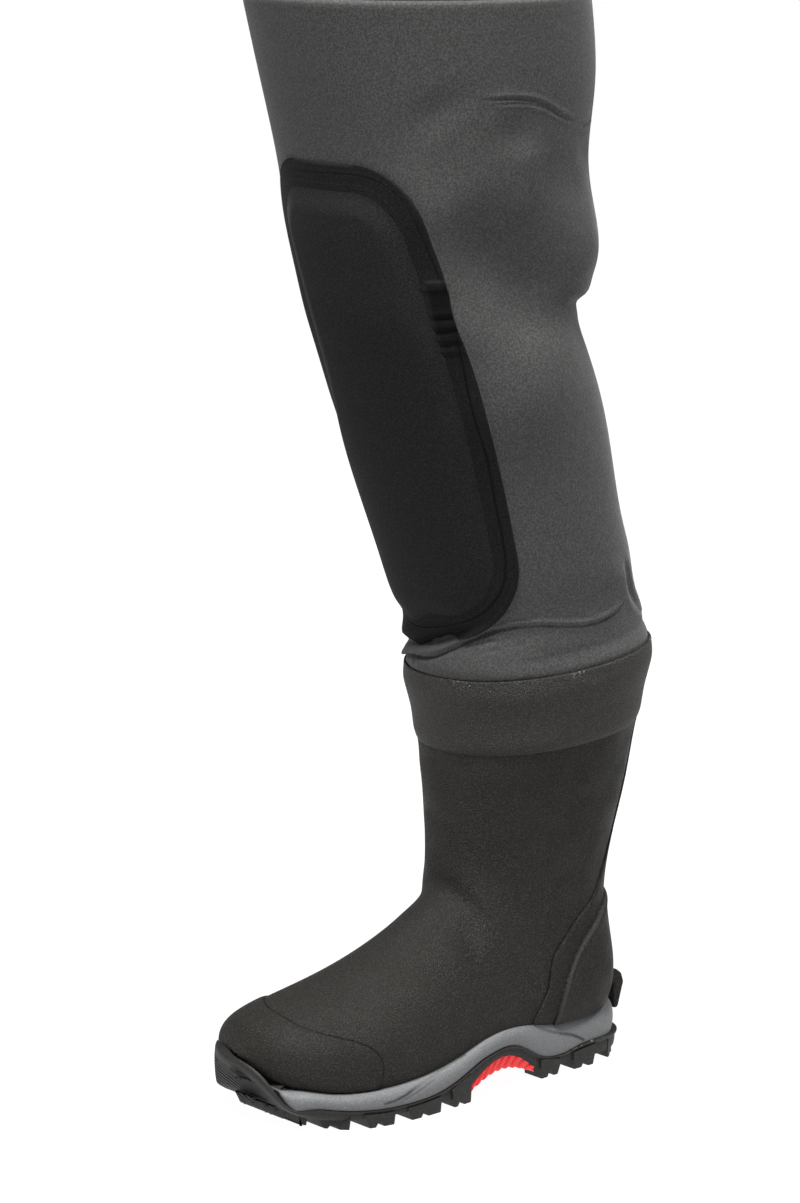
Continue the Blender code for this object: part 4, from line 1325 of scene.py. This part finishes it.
def sole_stations():
    """Stations of the sole's sections, spread evenly round its outline."""
    depth = 1 - np.cos(END_ANGLES) ** (2 / ROUND_POWER)
    heel = SOLE_BACK + HEEL_ROUND * depth
    toe = SOLE_FRONT - TOE_ROUND * depth
    middle = np.linspace(HEEL_ROUND_END, TOE_ROUND_START, MIDDLE_SECTIONS)[1:-1]
    return np.concatenate([heel, middle, toe[::-1]])


def boot_gap(points):
    """Distance from points to the boot."""
    boot = boot_point(*grid(np.linspace(0, SOLE_ROW, GAP_ROWS), AROUND)).reshape(-1, 3)
    tree = KDTree(len(boot))
    for i, point in enumerate(boot):
        tree.insert(point, i)
    tree.balance()
    return np.array([tree.find(point)[2] for point in points])


def sole_body(name, stations, low, high, rise, offset, flare, material, creases=(), hug=0.0, tip=None):
    """Closed piece of the sole between two heights. rise is how much higher its top is on the inner
    side, offset gives how far its side stands out at a share of its height, flare how far it is drawn
    out at the back of the heel, hug how much of the gap to the boot its top edge closes, and tip to
    which side its inner edge runs from where the bumper starts to its front end."""
    inner, outer = sole_edges(stations)
    if tip is not None:
        run_in = smooth_step(BUMPER_REACH, stations[-1], stations)
        inner = inner + run_in * (tip - inner)
    loop = np.concatenate([np.stack([stations, outer], 1), np.stack([stations, inner], 1)[::-1]])
    bottom = np.concatenate([low, low[::-1]])
    top = np.concatenate([high, (high + rise)[::-1]])
    run = np.roll(loop, -1, axis=0) - np.roll(loop, 1, axis=0)
    out = np.stack([-run[:, 1], run[:, 0]], 1)
    out /= np.linalg.norm(out, axis=1, keepdims=True)
    back = flare * ramp(HEEL_ROUND_END, SOLE_BACK, loop[:, 0])
    ledge = hug * boot_gap(np.concatenate([loop, top[:, None]], 1)) if hug else 0.0
    rings = []
    for share in np.linspace(0, 1, SOLE_LEVELS):
        stand = offset(share, loop[:, 0]) - ledge * share**HUG_POWER
        plan = loop + stand[:, None] * out - np.stack([back, 0 * back], 1)
        height = bottom + share * (top - bottom)
        rings.append(np.concatenate([plan, height[:, None]], 1))
    rings = np.array(rings)
    wall = np.concatenate([out, np.zeros((len(out), 1))], 1)
    wall = np.broadcast_to(wall, rings.shape)
    push, _ = crease_field(rings, wall, creases)
    rings = rings + push[..., None] * wall
    count = len(stations)
    size = 2 * count
    faces = quads(len(rings), size, ring=True)
    last = (len(rings) - 1) * size
    for i in range(count - 1):
        pair = (i, i + 1, size - 2 - i, size - 1 - i)
        faces.append(list(pair))
        faces.append([last + k for k in reversed(pair)])
    piece = new_piece(name, rings.reshape(-1, 3), faces, material)
    turn_out(piece.data)
    return piece


def boot_cutter():
    """Solid boot that the soles are cut by."""
    place, angle = grid(np.linspace(0, SOLE_ROW, CUTTER_ROWS), AROUND[::2])
    rings = boot_point(place, angle) + CUTTER_GAP * normals_of(boot_point, place, angle)
    piece = new_piece("boot_cutter", rings.reshape(-1, 3), shut_tube(*place.shape), RUBBER)
    turn_out(piece.data)
    return piece


NOTCH_WIDTH = 6.0
NOTCH_DEPTH = 2.5
HEEL_DRAWS = (3.0, 1.0)
FOREFOOT_DRAWS = (0.4, 3.5)
ARCH_MIDDLE = 110.0
LUG_CLEARANCE = 2.5
LUG_CLIMB_END = 236.0

# Small ribs under the toe: where they stand, how wide they are and how high their feet are
ToeRib = namedtuple("ToeRib", "station width foot")
TOE_RIBS = [ToeRib(265.5, 50, 4.0), ToeRib(269.2, 40, 6.4), ToeRib(272.9, 30, 9.0), ToeRib(276.6, 20, 12.2)]
TOE_RIB_HALF = 1.1
TOE_RIB_DRAW = 3.0
TOE_RIB_TILT = 0.5
TOE_RIB_LEANS = (0.2, -0.8, 0.3)
LUG_EDGE_ROUND = 0.45


def lug_profile(lug, climbs):
    """Outline of a lug from the side, with a notch across its foot; climbs tells whether it reaches up
    the sole's side wall."""
    middle = (lug.first + lug.last) / 2
    first_draw, last_draw = HEEL_DRAWS if middle < ARCH_MIDDLE else FOREFOOT_DRAWS
    half = min(NOTCH_WIDTH, (lug.last - lug.first) / 3) / 2
    foot = [lug.first + first_draw, middle - half, middle - half / 2, middle + half / 2, middle + half]
    foot.append(lug.last - last_draw)
    raised = [0, 0, NOTCH_DEPTH, NOTCH_DEPTH, 0, 0]

    def head(station):
        top = read(SOLE_SIDE, "tread", station) + LUG_ROOT
        if climbs and station < LUG_CLIMB_END:
            top = max(top, read(SOLE_SIDE, "joint", station) - LUG_CLEARANCE)
        return top

    profile = [(lug.first, head(lug.first), 0.0)]
    profile += [(station, ground(station) + lift, LUG_DRAW) for station, lift in zip(foot, raised)]
    profile.append((lug.last, head(lug.last), 0.0))
    return profile


def make_lugs():
    """Lugs along both sides, lugs in the middle and small ribs under the toe."""
    body = bmesh.new()
    for lug in EDGE_LUGS:
        profile = lug_profile(lug, True)
        add_block(body, profile, lambda s: lug_edges(s)[1], lug.width)
        add_block(body, profile, lambda s: lug_edges(s)[0], -lug.width)
    for lug in MIDDLE_LUGS:
        profile = lug_profile(lug, False)
        add_block(body, profile, lambda s: sum(lug_edges(s)) / 2 + lug.offset + lug.width / 2, lug.width)
    for rib in TOE_RIBS:
        head = read(SOLE_SIDE, "tread", rib.station) + LUG_ROOT
        first, last = rib.station - TOE_RIB_HALF, rib.station + TOE_RIB_HALF
        profile = [
            (first, head, 0.0),
            (first + TOE_RIB_LEANS[0], rib.foot, TOE_RIB_DRAW),
            (last + TOE_RIB_LEANS[1], rib.foot + TOE_RIB_TILT, TOE_RIB_DRAW),
            (last + TOE_RIB_LEANS[2], head, 0.0),
        ]
        middle = sum(sole_edges(rib.station)) / 2
        add_block(body, profile, lambda s: middle + rib.width / 2, rib.width)
    round_edges(body, LUG_EDGE_ROUND, segments=2)
    return block_piece("lugs", body, TREAD_RUBBER)


def vertex_places(piece):
    """Vertices in millimetres from the back of the heel."""
    flat = np.empty(3 * len(piece.data.vertices))
    piece.data.vertices.foreach_get("co", flat)
    return flat.reshape(-1, 3) / MM + (HEEL_REST_STATION, 0, 0)


# Side wall of the outsole: each form with the shares of the height or the stations that it fades between
WALL_RECESS = 1.3
WALL_RECESS_SHARES = (0.86, 0.7)
WALL_RECESS_END = 262.0
TREAD_LIP = 0.6
TREAD_LIP_SHARE = 0.14
TREAD_LIP_STATIONS = (276.0, 262.0)
TOP_ROUND = 1.6
TOP_ROUND_SHARE = 0.8
TOP_ROUND_STATIONS = (264.0, 276.0)
UNDERCUT_POWER = 1.8
UNDERCUT_LIMIT = 0.4
TREAD_SHARP = 32.0

# Ribbed window in the toe bumper: its sides, its top edge, how soft they are, and its ribs' pitch and slope
WINDOW_OUTER = 2.5
WINDOW_TOP = 32.8
WINDOW_TOP_SLOPE = -0.115
WINDOW_BACK = 272.0
WINDOW_OUTER_SOFT = 1.5
WINDOW_TOP_SOFT = 1.0
WINDOW_BACK_SOFT = 2.0
RIB_PITCH = 3.1
RIB_SLOPE = 0.45


def joint_height(points):
    """Top of the outsole at points of the sole."""
    station, share = across_sole(points)
    return joint_line(station) + np.round(share) * bumper_rise(station)


def make_outsole(cutter):
    """Lugged sole with the toe bumper; its shader knows the joint and the bumper's window."""
    stations = sole_stations()
    low = read(SOLE_SIDE, "tread", stations)
    high = joint_line(stations)

    def offset(share, station):
        inner, outer = sole_edges(station)
        drawn = undercut(station) * (1 - share) ** UNDERCUT_POWER
        drawn = np.minimum(drawn, UNDERCUT_LIMIT * (outer - inner))
        recess = WALL_RECESS * smooth_step(*WALL_RECESS_SHARES, share)
        recess = recess * smooth_step(WALL_RECESS_END, LUG_CLIMB_END, station)
        lip = TREAD_LIP * bell(1 - share, TREAD_LIP_SHARE) * smooth_step(*TREAD_LIP_STATIONS, station)
        top = TOP_ROUND * ramp(TOP_ROUND_SHARE, 1, share) ** 2 * smooth_step(*TOP_ROUND_STATIONS, station)
        return SIDE_BULGE / 2 * np.sin(np.pi * share) - drawn - recess + lip - top

    rise = bumper_rise(stations)
    piece = sole_body("tread", stations, low, high, rise, offset, HEEL_FLARE, TREAD_RUBBER)
    lugs = make_lugs()
    boolean(piece, "UNION", lugs)
    boolean(piece, "DIFFERENCE", cutter)
    settle(piece, TREAD_SHARP)
    discard(lugs)
    points = vertex_places(piece)
    station, side, height = points.T
    set_attribute(piece, "joint", np.abs(joint_height(points) - height))
    top = WINDOW_TOP + WINDOW_TOP_SLOPE * side
    window = smooth_step(WINDOW_OUTER_SOFT, -WINDOW_OUTER_SOFT, side - WINDOW_OUTER)
    window = window * smooth_step(WINDOW_TOP_SOFT, -WINDOW_TOP_SOFT, height - top)
    window = window * smooth_step(-WINDOW_BACK_SOFT, WINDOW_BACK_SOFT, station - WINDOW_BACK)
    set_attribute(piece, "window", window)
    set_attribute(piece, "rib", (height + RIB_SLOPE * side) / RIB_PITCH)
    place_piece(piece, "outsole")


# Heel line and the long double crease at the ball, on the outer side and mirrored on the inner side
GROOVE_MIRROR = 4.0
GROOVE_WIDTH = 0.8
GROOVE_DEPTH = 0.8
FAINT_GROOVE_DEPTH = 0.45
GROOVE_SHADE = 1.2
GROOVE_STEPS = 80


def mirrored(crease):
    points = [(station, GROOVE_MIRROR - side, height) for station, side, height in crease.points]
    return crease._replace(points=points)


OUTER_GROOVES = [
    Crease(
        [(84, 43, 36.5), (75.5, 42.1, 32.8), (67.2, 41.5, 29.1), (51.1, 40.6, 23.9), (39.8, 39.5, 18.1)],
        GROOVE_WIDTH, GROOVE_DEPTH,
    ),
    Crease(
        [(219, 56.5, 14.5), (205.5, 57.4, 16.5), (190.8, 56.9, 21.8), (171.1, 52.6, 26.7), (148, 49, 31.5)],
        GROOVE_WIDTH, GROOVE_DEPTH,
    ),
    Crease(
        [(212, 57, 12), (195.2, 57.5, 17), (182.4, 56.6, 21.4), (164.4, 54.3, 27.1), (156, 52.5, 29)],
        GROOVE_WIDTH, FAINT_GROOVE_DEPTH,
    ),
]
MIDSOLE_GROOVES = OUTER_GROOVES + [mirrored(crease) for crease in OUTER_GROOVES]
MIDSOLE_HUG = 0.85
MIDSOLE_LEAST = 0.2
MIDSOLE_FOOT_DRAW = 0.5
MIDSOLE_FOOT_POWER = 6
MIDSOLE_TIP_START = 268.0
MIDSOLE_TIP_SIDE = 13.0
MIDSOLE_TIP_DRAW = 3.0
MIDSOLE_SHARP = 40.0


def make_midsole(cutter):
    """Foam wedge that ends under the toe bumper; its shader knows its grooves, its top and its foot."""
    stations = sole_stations()
    stations = stations[stations < MIDSOLE_FRONT]
    low = joint_line(stations) + GAP
    high = np.maximum(read(SOLE_SIDE, "collar", stations), low + MIDSOLE_LEAST)

    def offset(share, station):
        drawn = MIDSOLE_TIP_DRAW * smooth_step(MIDSOLE_TIP_START, MIDSOLE_FRONT, station)
        foot = MIDSOLE_FOOT_DRAW * (1 - share) ** MIDSOLE_FOOT_POWER
        return SIDE_BULGE * np.sin(np.pi * share) - foot - drawn

    piece = sole_body(
        "midsole_wedge", stations, low, high, 0 * high, offset, 0.0, FOAM,
        creases=MIDSOLE_GROOVES, hug=MIDSOLE_HUG, tip=MIDSOLE_TIP_SIDE,
    )
    boolean(piece, "DIFFERENCE", cutter)
    settle(piece, MIDSOLE_SHARP)
    points = vertex_places(piece)
    groove = np.zeros(len(points))
    for crease in MIDSOLE_GROOVES:
        _, offsets = nearest_offset(points, smooth_line(crease.points, GROOVE_STEPS)[0])
        shade = bell(np.linalg.norm(offsets, axis=1), GROOVE_SHADE) * crease.trough / GROOVE_DEPTH
        groove = np.maximum(groove, shade)
    set_attribute(piece, "groove", groove)
    set_attribute(piece, "top", collar_height(points) - points[:, 2])
    set_attribute(piece, "foot", points[:, 2] - joint_height(points))
    place_piece(piece, "midsole")


ARCH_LEVELS = 9
ARCH_LEAST = 0.3
ARCH_FOOT_DRAW = 1.2
ARCH_FOOT_LEVEL = 0.15
ARCH_SHARP = 60.0
RIB_STEPS = 14
RIB_SLANT = 0.1
RIB_POWER = 0.7


def make_arch():
    """Ribbed bridge under the arch, with slanted scalloped ribs."""
    share = np.linspace(0, 1, RIB_STEPS * ARCH_RIBS + 1)[:, None]
    level = np.linspace(0, 1, ARCH_LEVELS)[None]
    station = ARCH_BACK + share * (ARCH_FRONT - ARCH_BACK)
    inner, outer = sole_edges(station)
    top = read(SOLE_SIDE, "tread", station) - GAP
    foot = ARCH_END_HEIGHT + ARCH_CROWN * np.sin(np.pi * share)

    def rib(level):
        slant = share + RIB_SLANT * (level - 0.5)
        return np.abs(np.sin(np.pi * ARCH_RIBS * slant)) ** RIB_POWER

    bottom = foot - RIB_DEPTH * rib(0.0)
    height = bottom + level * np.maximum(top - bottom, ARCH_LEAST)
    inset = ARCH_INSET - RIB_DEPTH * rib(level) + ARCH_FOOT_DRAW * ramp(ARCH_FOOT_LEVEL, 0, level)
    along = np.broadcast_to(station, height.shape)
    outside = np.stack([along, outer - inset, height], -1)
    inside = np.stack([along, inner + inset, height], -1)
    rings = np.concatenate([outside, inside[:, ::-1]], axis=1)
    piece = new_piece("arch_bridge", rings.reshape(-1, 3), shut_tube(*rings.shape[:2]), RED_PLASTIC)
    turn_out(piece.data)
    piece.data.set_sharp_from_angle(angle=math.radians(ARCH_SHARP))
    place_piece(piece, "arch_insert")


# The leg

# Heights between which its rows are close together, and the steps between rows there and elsewhere
FINE_HEIGHTS = ((261.0, 304.0), (612.0, 638.0))
FINE_PACE = 0.6
PLAIN_PACE = 2.6
LEG_FOOT = 0.25
LEG_SAMPLES = 4000
LEG_LINING_ROWS = 70


def leg_row(name, place):
    """A value of the leg's sections at places between them."""
    return spline(np.arange(len(LEG_SECTIONS)), column(LEG_SECTIONS, name), place)


def leg_places():
    """Places along the leg, close together at the fold and at the fine crease above the knee."""
    every = np.linspace(LEG_FOOT, LEG_TOP, LEG_SAMPLES)
    height = leg_row("front_height", every)
    fine = np.any([(height > low) & (height < high) for low, high in FINE_HEIGHTS], axis=0)
    pace = np.where(fine, FINE_PACE, PLAIN_PACE)
    count = np.concatenate([[0], np.cumsum(np.diff(height) / pace[1:])])
    return np.interp(np.linspace(0, count[-1], round(count[-1]) + 1), count, every)


def make_leg():
    """Hollow leg with rounded ends."""
    outer, normal = leg_surface(*grid(leg_places(), AROUND))
    head = rolled_edge(outer[-1], normal[-1], LEG_WALL, ROLL_TURNS)
    foot = rolled_edge(outer[0], normal[0], LEG_WALL, ROLL_TURNS, up=-1)
    inner_base, inner_normal = leg_surface(*grid(np.linspace(LEG_TOP, LEG_FOOT, LEG_LINING_ROWS), AROUND))
    inner = inner_base - LEG_WALL * inner_normal
    rings = np.concatenate([outer, head, inner, foot[::-1]])
    faces = quads(len(rings), len(AROUND), ring=True, tube=True)
    piece = new_piece("neoprene_leg", rings.reshape(-1, 3), faces, NEOPRENE)
    place_piece(piece, "leg")


# Knee panel and pad: how much lower the inner side of the foot is, over which height and share of the width,
# the round corners, and how much closer together the columns are at the sides
KNEE_DROP = 10.5
KNEE_DROP_REACH = 70.0
KNEE_DROP_SHARES = (0.15, 0.65)
FOOT_CORNER = 52.0
INNER_FOOT_SHARE = 0.45
PAD_FOOT_CORNER = 42.0
CORNER_STEPS = 26
COLUMN_CROWDING = 0.35


def knee_rows(foot, head, outer_inset, inner_inset, foot_corner, head_corner, count):
    """Heights up the knee panel and its edge angles, with round corners."""
    turn = np.radians(np.linspace(0, 90, CORNER_STEPS))
    middle = np.linspace(foot + foot_corner, head - head_corner, count)[1:-1]
    foot_ends = foot + foot_corner * (1 - np.cos(turn))
    head_ends = head - head_corner * (1 - np.cos(turn))
    heights = np.concatenate([foot_ends, middle, head_ends[::-1]])
    insets = []
    for first in (foot_corner, foot_corner * INNER_FOOT_SHARE):
        round_off = 0.0
        for gap, corner in ((heights - foot, first), (head - heights, head_corner)):
            depth = np.clip(gap, 0, corner)
            round_off = round_off + corner - np.sqrt(corner**2 - (corner - depth) ** 2)
        insets.append(round_off)
    radius = leg_row("half_width", leg_place(heights))
    knots = column(KNEE_EDGE, "height")
    outer = spline(knots, column(KNEE_EDGE, "outer"), heights)
    inner = spline(knots, column(KNEE_EDGE, "inner"), heights)
    outer = outer + np.degrees((outer_inset + insets[0]) / radius)
    inner = inner - np.degrees((inner_inset + insets[1]) / radius)
    return heights, outer, inner


def leg_place(heights):
    """Places of the leg's sections that reach the given heights at the front."""
    return spline(column(LEG_SECTIONS, "front_height"), np.arange(len(LEG_SECTIONS)), heights)


def knee_sheet(name, rows, columns, low, profile, material, fields):
    """Closed sheet on the leg between two edges; profile gives its thickness at a distance from its edge,
    and fields its wrinkles and shader attributes. Its foot is lower on the inner side."""
    heights, outer, inner = rows
    ends = 0.5 * (1 - np.cos(np.pi * np.linspace(0, 1, columns)))
    spread = COLUMN_CROWDING * ends + (1 - COLUMN_CROWDING) * np.linspace(0, 1, columns)
    angle = outer[:, None] + spread[None] * (inner - outer)[:, None]
    drop = KNEE_DROP * smooth_step(KNEE_FOOT + KNEE_DROP_REACH, KNEE_FOOT, heights)
    place = leg_place(heights[:, None] - drop[:, None] * smooth_step(*KNEE_DROP_SHARES, spread)[None])
    base, normal = leg_surface(place, angle)
    rim = np.concatenate([base[:, 0], base[-1, 1:], base[::-1, -1][1:], base[0, ::-1][1:-1]])
    depth = np.empty(angle.shape)
    for i, row in enumerate(base):
        depth[i] = np.linalg.norm(nearest_offset(row, rim)[1], axis=1)
    across = np.broadcast_to(spread[None], angle.shape)
    extra, attributes = fields(leg_point(place, angle), normal, depth, across)
    thick = profile(depth)
    top = base + (low + thick + extra * (thick > 0))[..., None] * normal
    bottom = base + low * normal
    index = np.arange(angle.size).reshape(angle.shape)
    corners = np.stack([index[:-1, :-1], index[:-1, 1:], index[1:, 1:], index[1:, :-1]], -1).reshape(-1, 4)
    edge = border_of(angle.shape)
    under = index.copy()
    under[~edge] = angle.size + np.arange((~edge).sum())
    points = np.concatenate([top.reshape(-1, 3), bottom[~edge]])
    faces = corners.tolist() + under.ravel()[corners][:, ::-1].tolist()
    values = {}
    for key, value in attributes.items():
        values[key] = np.concatenate([value.ravel(), np.zeros((~edge).sum())])
    piece = new_piece(name, points, faces, material, values)
    turn_out(piece.data)
    return piece


PATCH_GRID = (150, 110)
PAD_GRID = (130, 96)
PATCH_EDGE_ROUND = 1.4
PAD_ROUND = 15.0
PAD_EDGE_ROUND = 1.0

# Border of the panel: its dark strip and the step in it, and the heights that its marks fade between
STRIP_WIDTH = 12.0
STRIP_SOFT = 1.5
STEP_HEIGHT = 523.0
STEP_SOFT = 2.0
STEP_LINE_RISE = 1.2
STEP_LINE_WIDTH = 0.8
DARK_HEIGHTS = (468.0, 498.0)
LOW_HEIGHTS = (360.0, 315.0)
HIGH_HEIGHTS = (560.0, 575.0)
OUTER_SHARES = (0.45, 0.25)
SEAM_SHARES = (0.8, 0.65)
SEAM_STEPS = 200

# Strengths of the marks in the border: the dark strip's, the step's painted highlight, the painted shade of
# the seam's groove below, beside and above the step, and the stitches'
STRIP_DARKNESS = 0.75
STEP_HIGHLIGHT = 0.5
SEAM_LOW = 0.8
SEAM_MIDDLE = 0.6
SEAM_HIGH = 0.4
STITCH_LOW = 0.35
STITCH_HIGH = 0.5

# Fine seam in the panel's border, as side and height
SEAM = [
    (20, 588), (52.2, 582.2), (59.5, 574), (63.9, 562.1), (66.5, 548), (69.8, 525), (71.7, 513), (71.5, 498),
    (69.3, 467.1), (67.2, 441), (66.3, 415.3), (63.6, 386.1), (61.3, 359.9), (58.4, 340.1), (53.9, 326.8),
    (41.4, 311.5), (19, 301.1), (-12, 295), (-40, 297),
]
PATCH_CREASES = [
    # Wrinkles in the border strip beside the pad
    Crease([(199, 60, 520.5), (190, 67, 521), (181, 73, 523)], 1.0, 0.5, 0.0, 0.7),
    Crease([(188, 63, 501), (178, 71, 502), (172, 75, 503)], 1.4, 1.1, 0.5),
    Crease([(186, 62, 493), (177, 69, 494), (170, 74, 495)], 1.4, 1.0, 0.4),
    Crease([(183, 62, 485), (174, 69, 486), (167, 73, 487)], 1.4, 0.9, 0.4),
    Crease([(181, 61, 478), (172, 68, 479), (165, 72, 480)], 1.4, 0.8, 0.3),
    Crease([(178, 70.5, 503), (174, 69, 482), (163, 68, 450), (150, 66, 415)], 1.1, 0.7, 0.2, 0.2),
]


def patch_fields(base, normal, depth, across):
    """Wrinkles of the flat panel, its dark strip, the painted highlight of its step line, the painted shade
    of its groove and its stitches.
    """
    height = base[..., 2]
    push, _ = crease_field(base, normal, PATCH_CREASES)
    strip = smooth_step(*OUTER_SHARES, across) * smooth_step(STRIP_SOFT, -STRIP_SOFT, depth - STRIP_WIDTH)
    below_step = smooth_step(STEP_HEIGHT, STEP_HEIGHT - STEP_SOFT, height)
    dark = STRIP_DARKNESS * strip * below_step * smooth_step(*DARK_HEIGHTS, height)
    # Painted highlight: a pale line along the edge of the step
    pale = STEP_HIGHLIGHT * strip * bell(height - STEP_HEIGHT - STEP_LINE_RISE, STEP_LINE_WIDTH)
    low = smooth_step(*LOW_HEIGHTS, height)
    high = smooth_step(*HIGH_HEIGHTS, height)
    line, run = smooth_line(SEAM, SEAM_STEPS)
    nearest, offset = nearest_offset(base[..., 1:].reshape(-1, 2), line)
    seam = (run[nearest, 0] * offset[:, 1] - run[nearest, 1] * offset[:, 0]).reshape(height.shape)
    groove = np.maximum(SEAM_LOW * low, np.where(height > STEP_HEIGHT, SEAM_HIGH, SEAM_MIDDLE))
    groove = groove * smooth_step(*SEAM_SHARES, across)
    stitch = np.maximum(STITCH_HIGH * high, STITCH_LOW * low)
    values = {"edge": depth, "dark": dark, "pale": pale, "groove": groove, "stitch": stitch, "seam": seam}
    return push, values


def pad_fields(base, normal, depth, across):
    """The pad is plain."""
    return 0.0 * depth, {"edge": depth}


def patch_profile(depth):
    return PATCH_THICKNESS * np.sqrt(1 - (1 - ramp(0, PATCH_EDGE_ROUND, depth)) ** 2)


def pad_profile(depth):
    """Soft crown that is shut at its edge."""
    crown = smooth_step(-PAD_EDGE_ROUND, PAD_ROUND, depth)
    return PAD_THICKNESS * crown * smooth_step(0, PAD_EDGE_ROUND, depth)


def make_knee():
    """Flat panel on the front of the leg, and the pad on it."""
    rows = knee_rows(KNEE_FOOT, KNEE_HEAD, 0.0, 0.0, FOOT_CORNER, PATCH_CORNER, PATCH_GRID[0])
    piece = knee_sheet(
        "knee_panel", rows, PATCH_GRID[1], SHEET_LIFT, patch_profile, PATCH_CLOTH, patch_fields
    )
    place_piece(piece, "knee_patch")
    pad_foot, pad_head = KNEE_FOOT + PAD_FOOT, KNEE_HEAD - PAD_HEAD
    rows = knee_rows(pad_foot, pad_head, PAD_OUTER, PAD_INNER, PAD_FOOT_CORNER, PAD_CORNER, PAD_GRID[0])
    piece = knee_sheet(
        "knee_cushion", rows, PAD_GRID[1], PATCH_THICKNESS, pad_profile, PAD_CLOTH, pad_fields
    )
    place_piece(piece, "knee_pad")


# Floor, light and camera

# The floor glows under and behind the part; in front of it, towards FLOOR_FRONT, it is left darker
FLOOR_REACH = 30.0
FLOOR_FRONT = (0.629, 0.777, 0.0)
GLOW_EDGE = (0.34, 0.7)
FLOOR_GLOW = 0.98
FRONT_GLOW = 0.05
FLOOR_BEHIND = grey(0.1)
FLOOR_BEFORE = grey(0.12)
HORIZON_LIGHT = 0.2
ZENITH_LIGHT = 0.15
WHITE = (1.0, 1.0, 1.0, 1.0)

Light = namedtuple("Light", "name place target size power")
LIGHTS = [
    Light("rim", (-1.8, 0.2, 2.4), (0.1, 0.0, 0.5), 0.8, 34.0),
    Light("key", (1.0, 0.75, 3.3), (0.1, 0.0, 0.3), 1.1, 210.0),
    Light("fill", (1.4, 2.4, 0.5), (0.1, 0.0, 0.3), 1.4, 11.0),
]


def make_floor():
    mesh = bpy.data.meshes.new("floor")
    corners = [(x * FLOOR_REACH, y * FLOOR_REACH, 0) for x, y in ((-1, -1), (1, -1), (1, 1), (-1, 1))]
    mesh.from_pydata(corners, [], [(0, 1, 2, 3)])
    shade = Shader("floor", FLOOR_BEHIND, roughness=0.9, specular=0.0)
    shade.bsdf.inputs["Emission Color"].default_value = WHITE
    values = {0: shade.place, 1: FLOOR_FRONT}
    towards = shade.node("ShaderNodeVectorMath", values, operation="DOT_PRODUCT").outputs["Value"]
    shade.wire(shade.band(towards, *GLOW_EDGE, FLOOR_GLOW, FRONT_GLOW), "Emission Strength")
    shade.wire(shade.blend(shade.band(towards, *GLOW_EDGE), FLOOR_BEHIND, FLOOR_BEFORE), "Base Color")
    mesh.materials.append(shade.material)
    link("floor", mesh)


def make_surroundings():
    """White surroundings, brighter at the horizon than overhead."""
    surroundings = bpy.data.worlds.new("studio")
    surroundings.use_nodes = True
    tree = surroundings.node_tree
    split = tree.nodes.new("ShaderNodeSeparateXYZ")
    tree.links.new(tree.nodes.new("ShaderNodeTexCoord").outputs["Generated"], split.inputs[0])
    fall = tree.nodes.new("ShaderNodeMapRange")
    tree.links.new(split.outputs["Z"], fall.inputs["Value"])
    fall.inputs["To Min"].default_value = HORIZON_LIGHT
    fall.inputs["To Max"].default_value = ZENITH_LIGHT
    tree.links.new(fall.outputs["Result"], tree.nodes["Background"].inputs["Strength"])
    tree.nodes["Background"].inputs["Color"].default_value = WHITE
    bpy.context.scene.world = surroundings
    bpy.context.scene.view_settings.view_transform = "Standard"


def add_light(light):
    lamp = bpy.data.lights.new(light.name, "AREA")
    lamp.shape = "DISK"
    lamp.size = light.size
    lamp.energy = light.power
    holder = link(light.name, lamp)
    holder.location = light.place
    holder.rotation_euler = (Vector(light.target) - Vector(light.place)).to_track_quat("-Z", "Y").to_euler()


CAMERA_AZIMUTH = 141.0
CAMERA_ELEVATION = 11.2
CAMERA_DISTANCE = 2.8
CAMERA_TARGET = Vector((0.1195, -0.0088, 0.3133))
FOCAL_PIXELS = 4480.0
IMAGE_HEIGHT = 1203.0
SENSOR = 36.0


def make_camera():
    """Camera at the photograph's angle."""
    azimuth, elevation = math.radians(CAMERA_AZIMUTH), math.radians(CAMERA_ELEVATION)
    away = Vector((
        math.sin(azimuth) * math.cos(elevation),
        -math.cos(azimuth) * math.cos(elevation),
        math.sin(elevation),
    ))
    lens = bpy.data.cameras.new("camera")
    lens.sensor_fit = "VERTICAL"
    lens.sensor_height = SENSOR
    lens.lens = FOCAL_PIXELS * SENSOR / IMAGE_HEIGHT
    camera = link("camera", lens)
    camera.location = CAMERA_TARGET + CAMERA_DISTANCE * away
    camera.rotation_euler = (-away).to_track_quat("-Z", "Y").to_euler()
    bpy.context.scene.camera = camera


def make_sole():
    cutter = boot_cutter()
    make_outsole(cutter)
    make_midsole(cutter)
    discard(cutter)
    make_arch()


def dress_insole():
    """The insole keeps its solid and gets the footbed's cloth."""
    insole = frame["nodes"]["insole"]
    insole.data.materials.clear()
    insole.data.materials.append(FOOTBED)


make_camera()
make_floor()
make_surroundings()
for light in LIGHTS:
    add_light(light)
make_upper()
make_overlays()
make_cuff()
make_spur()
make_sole()
make_leg()
make_knee()
dress_insole()
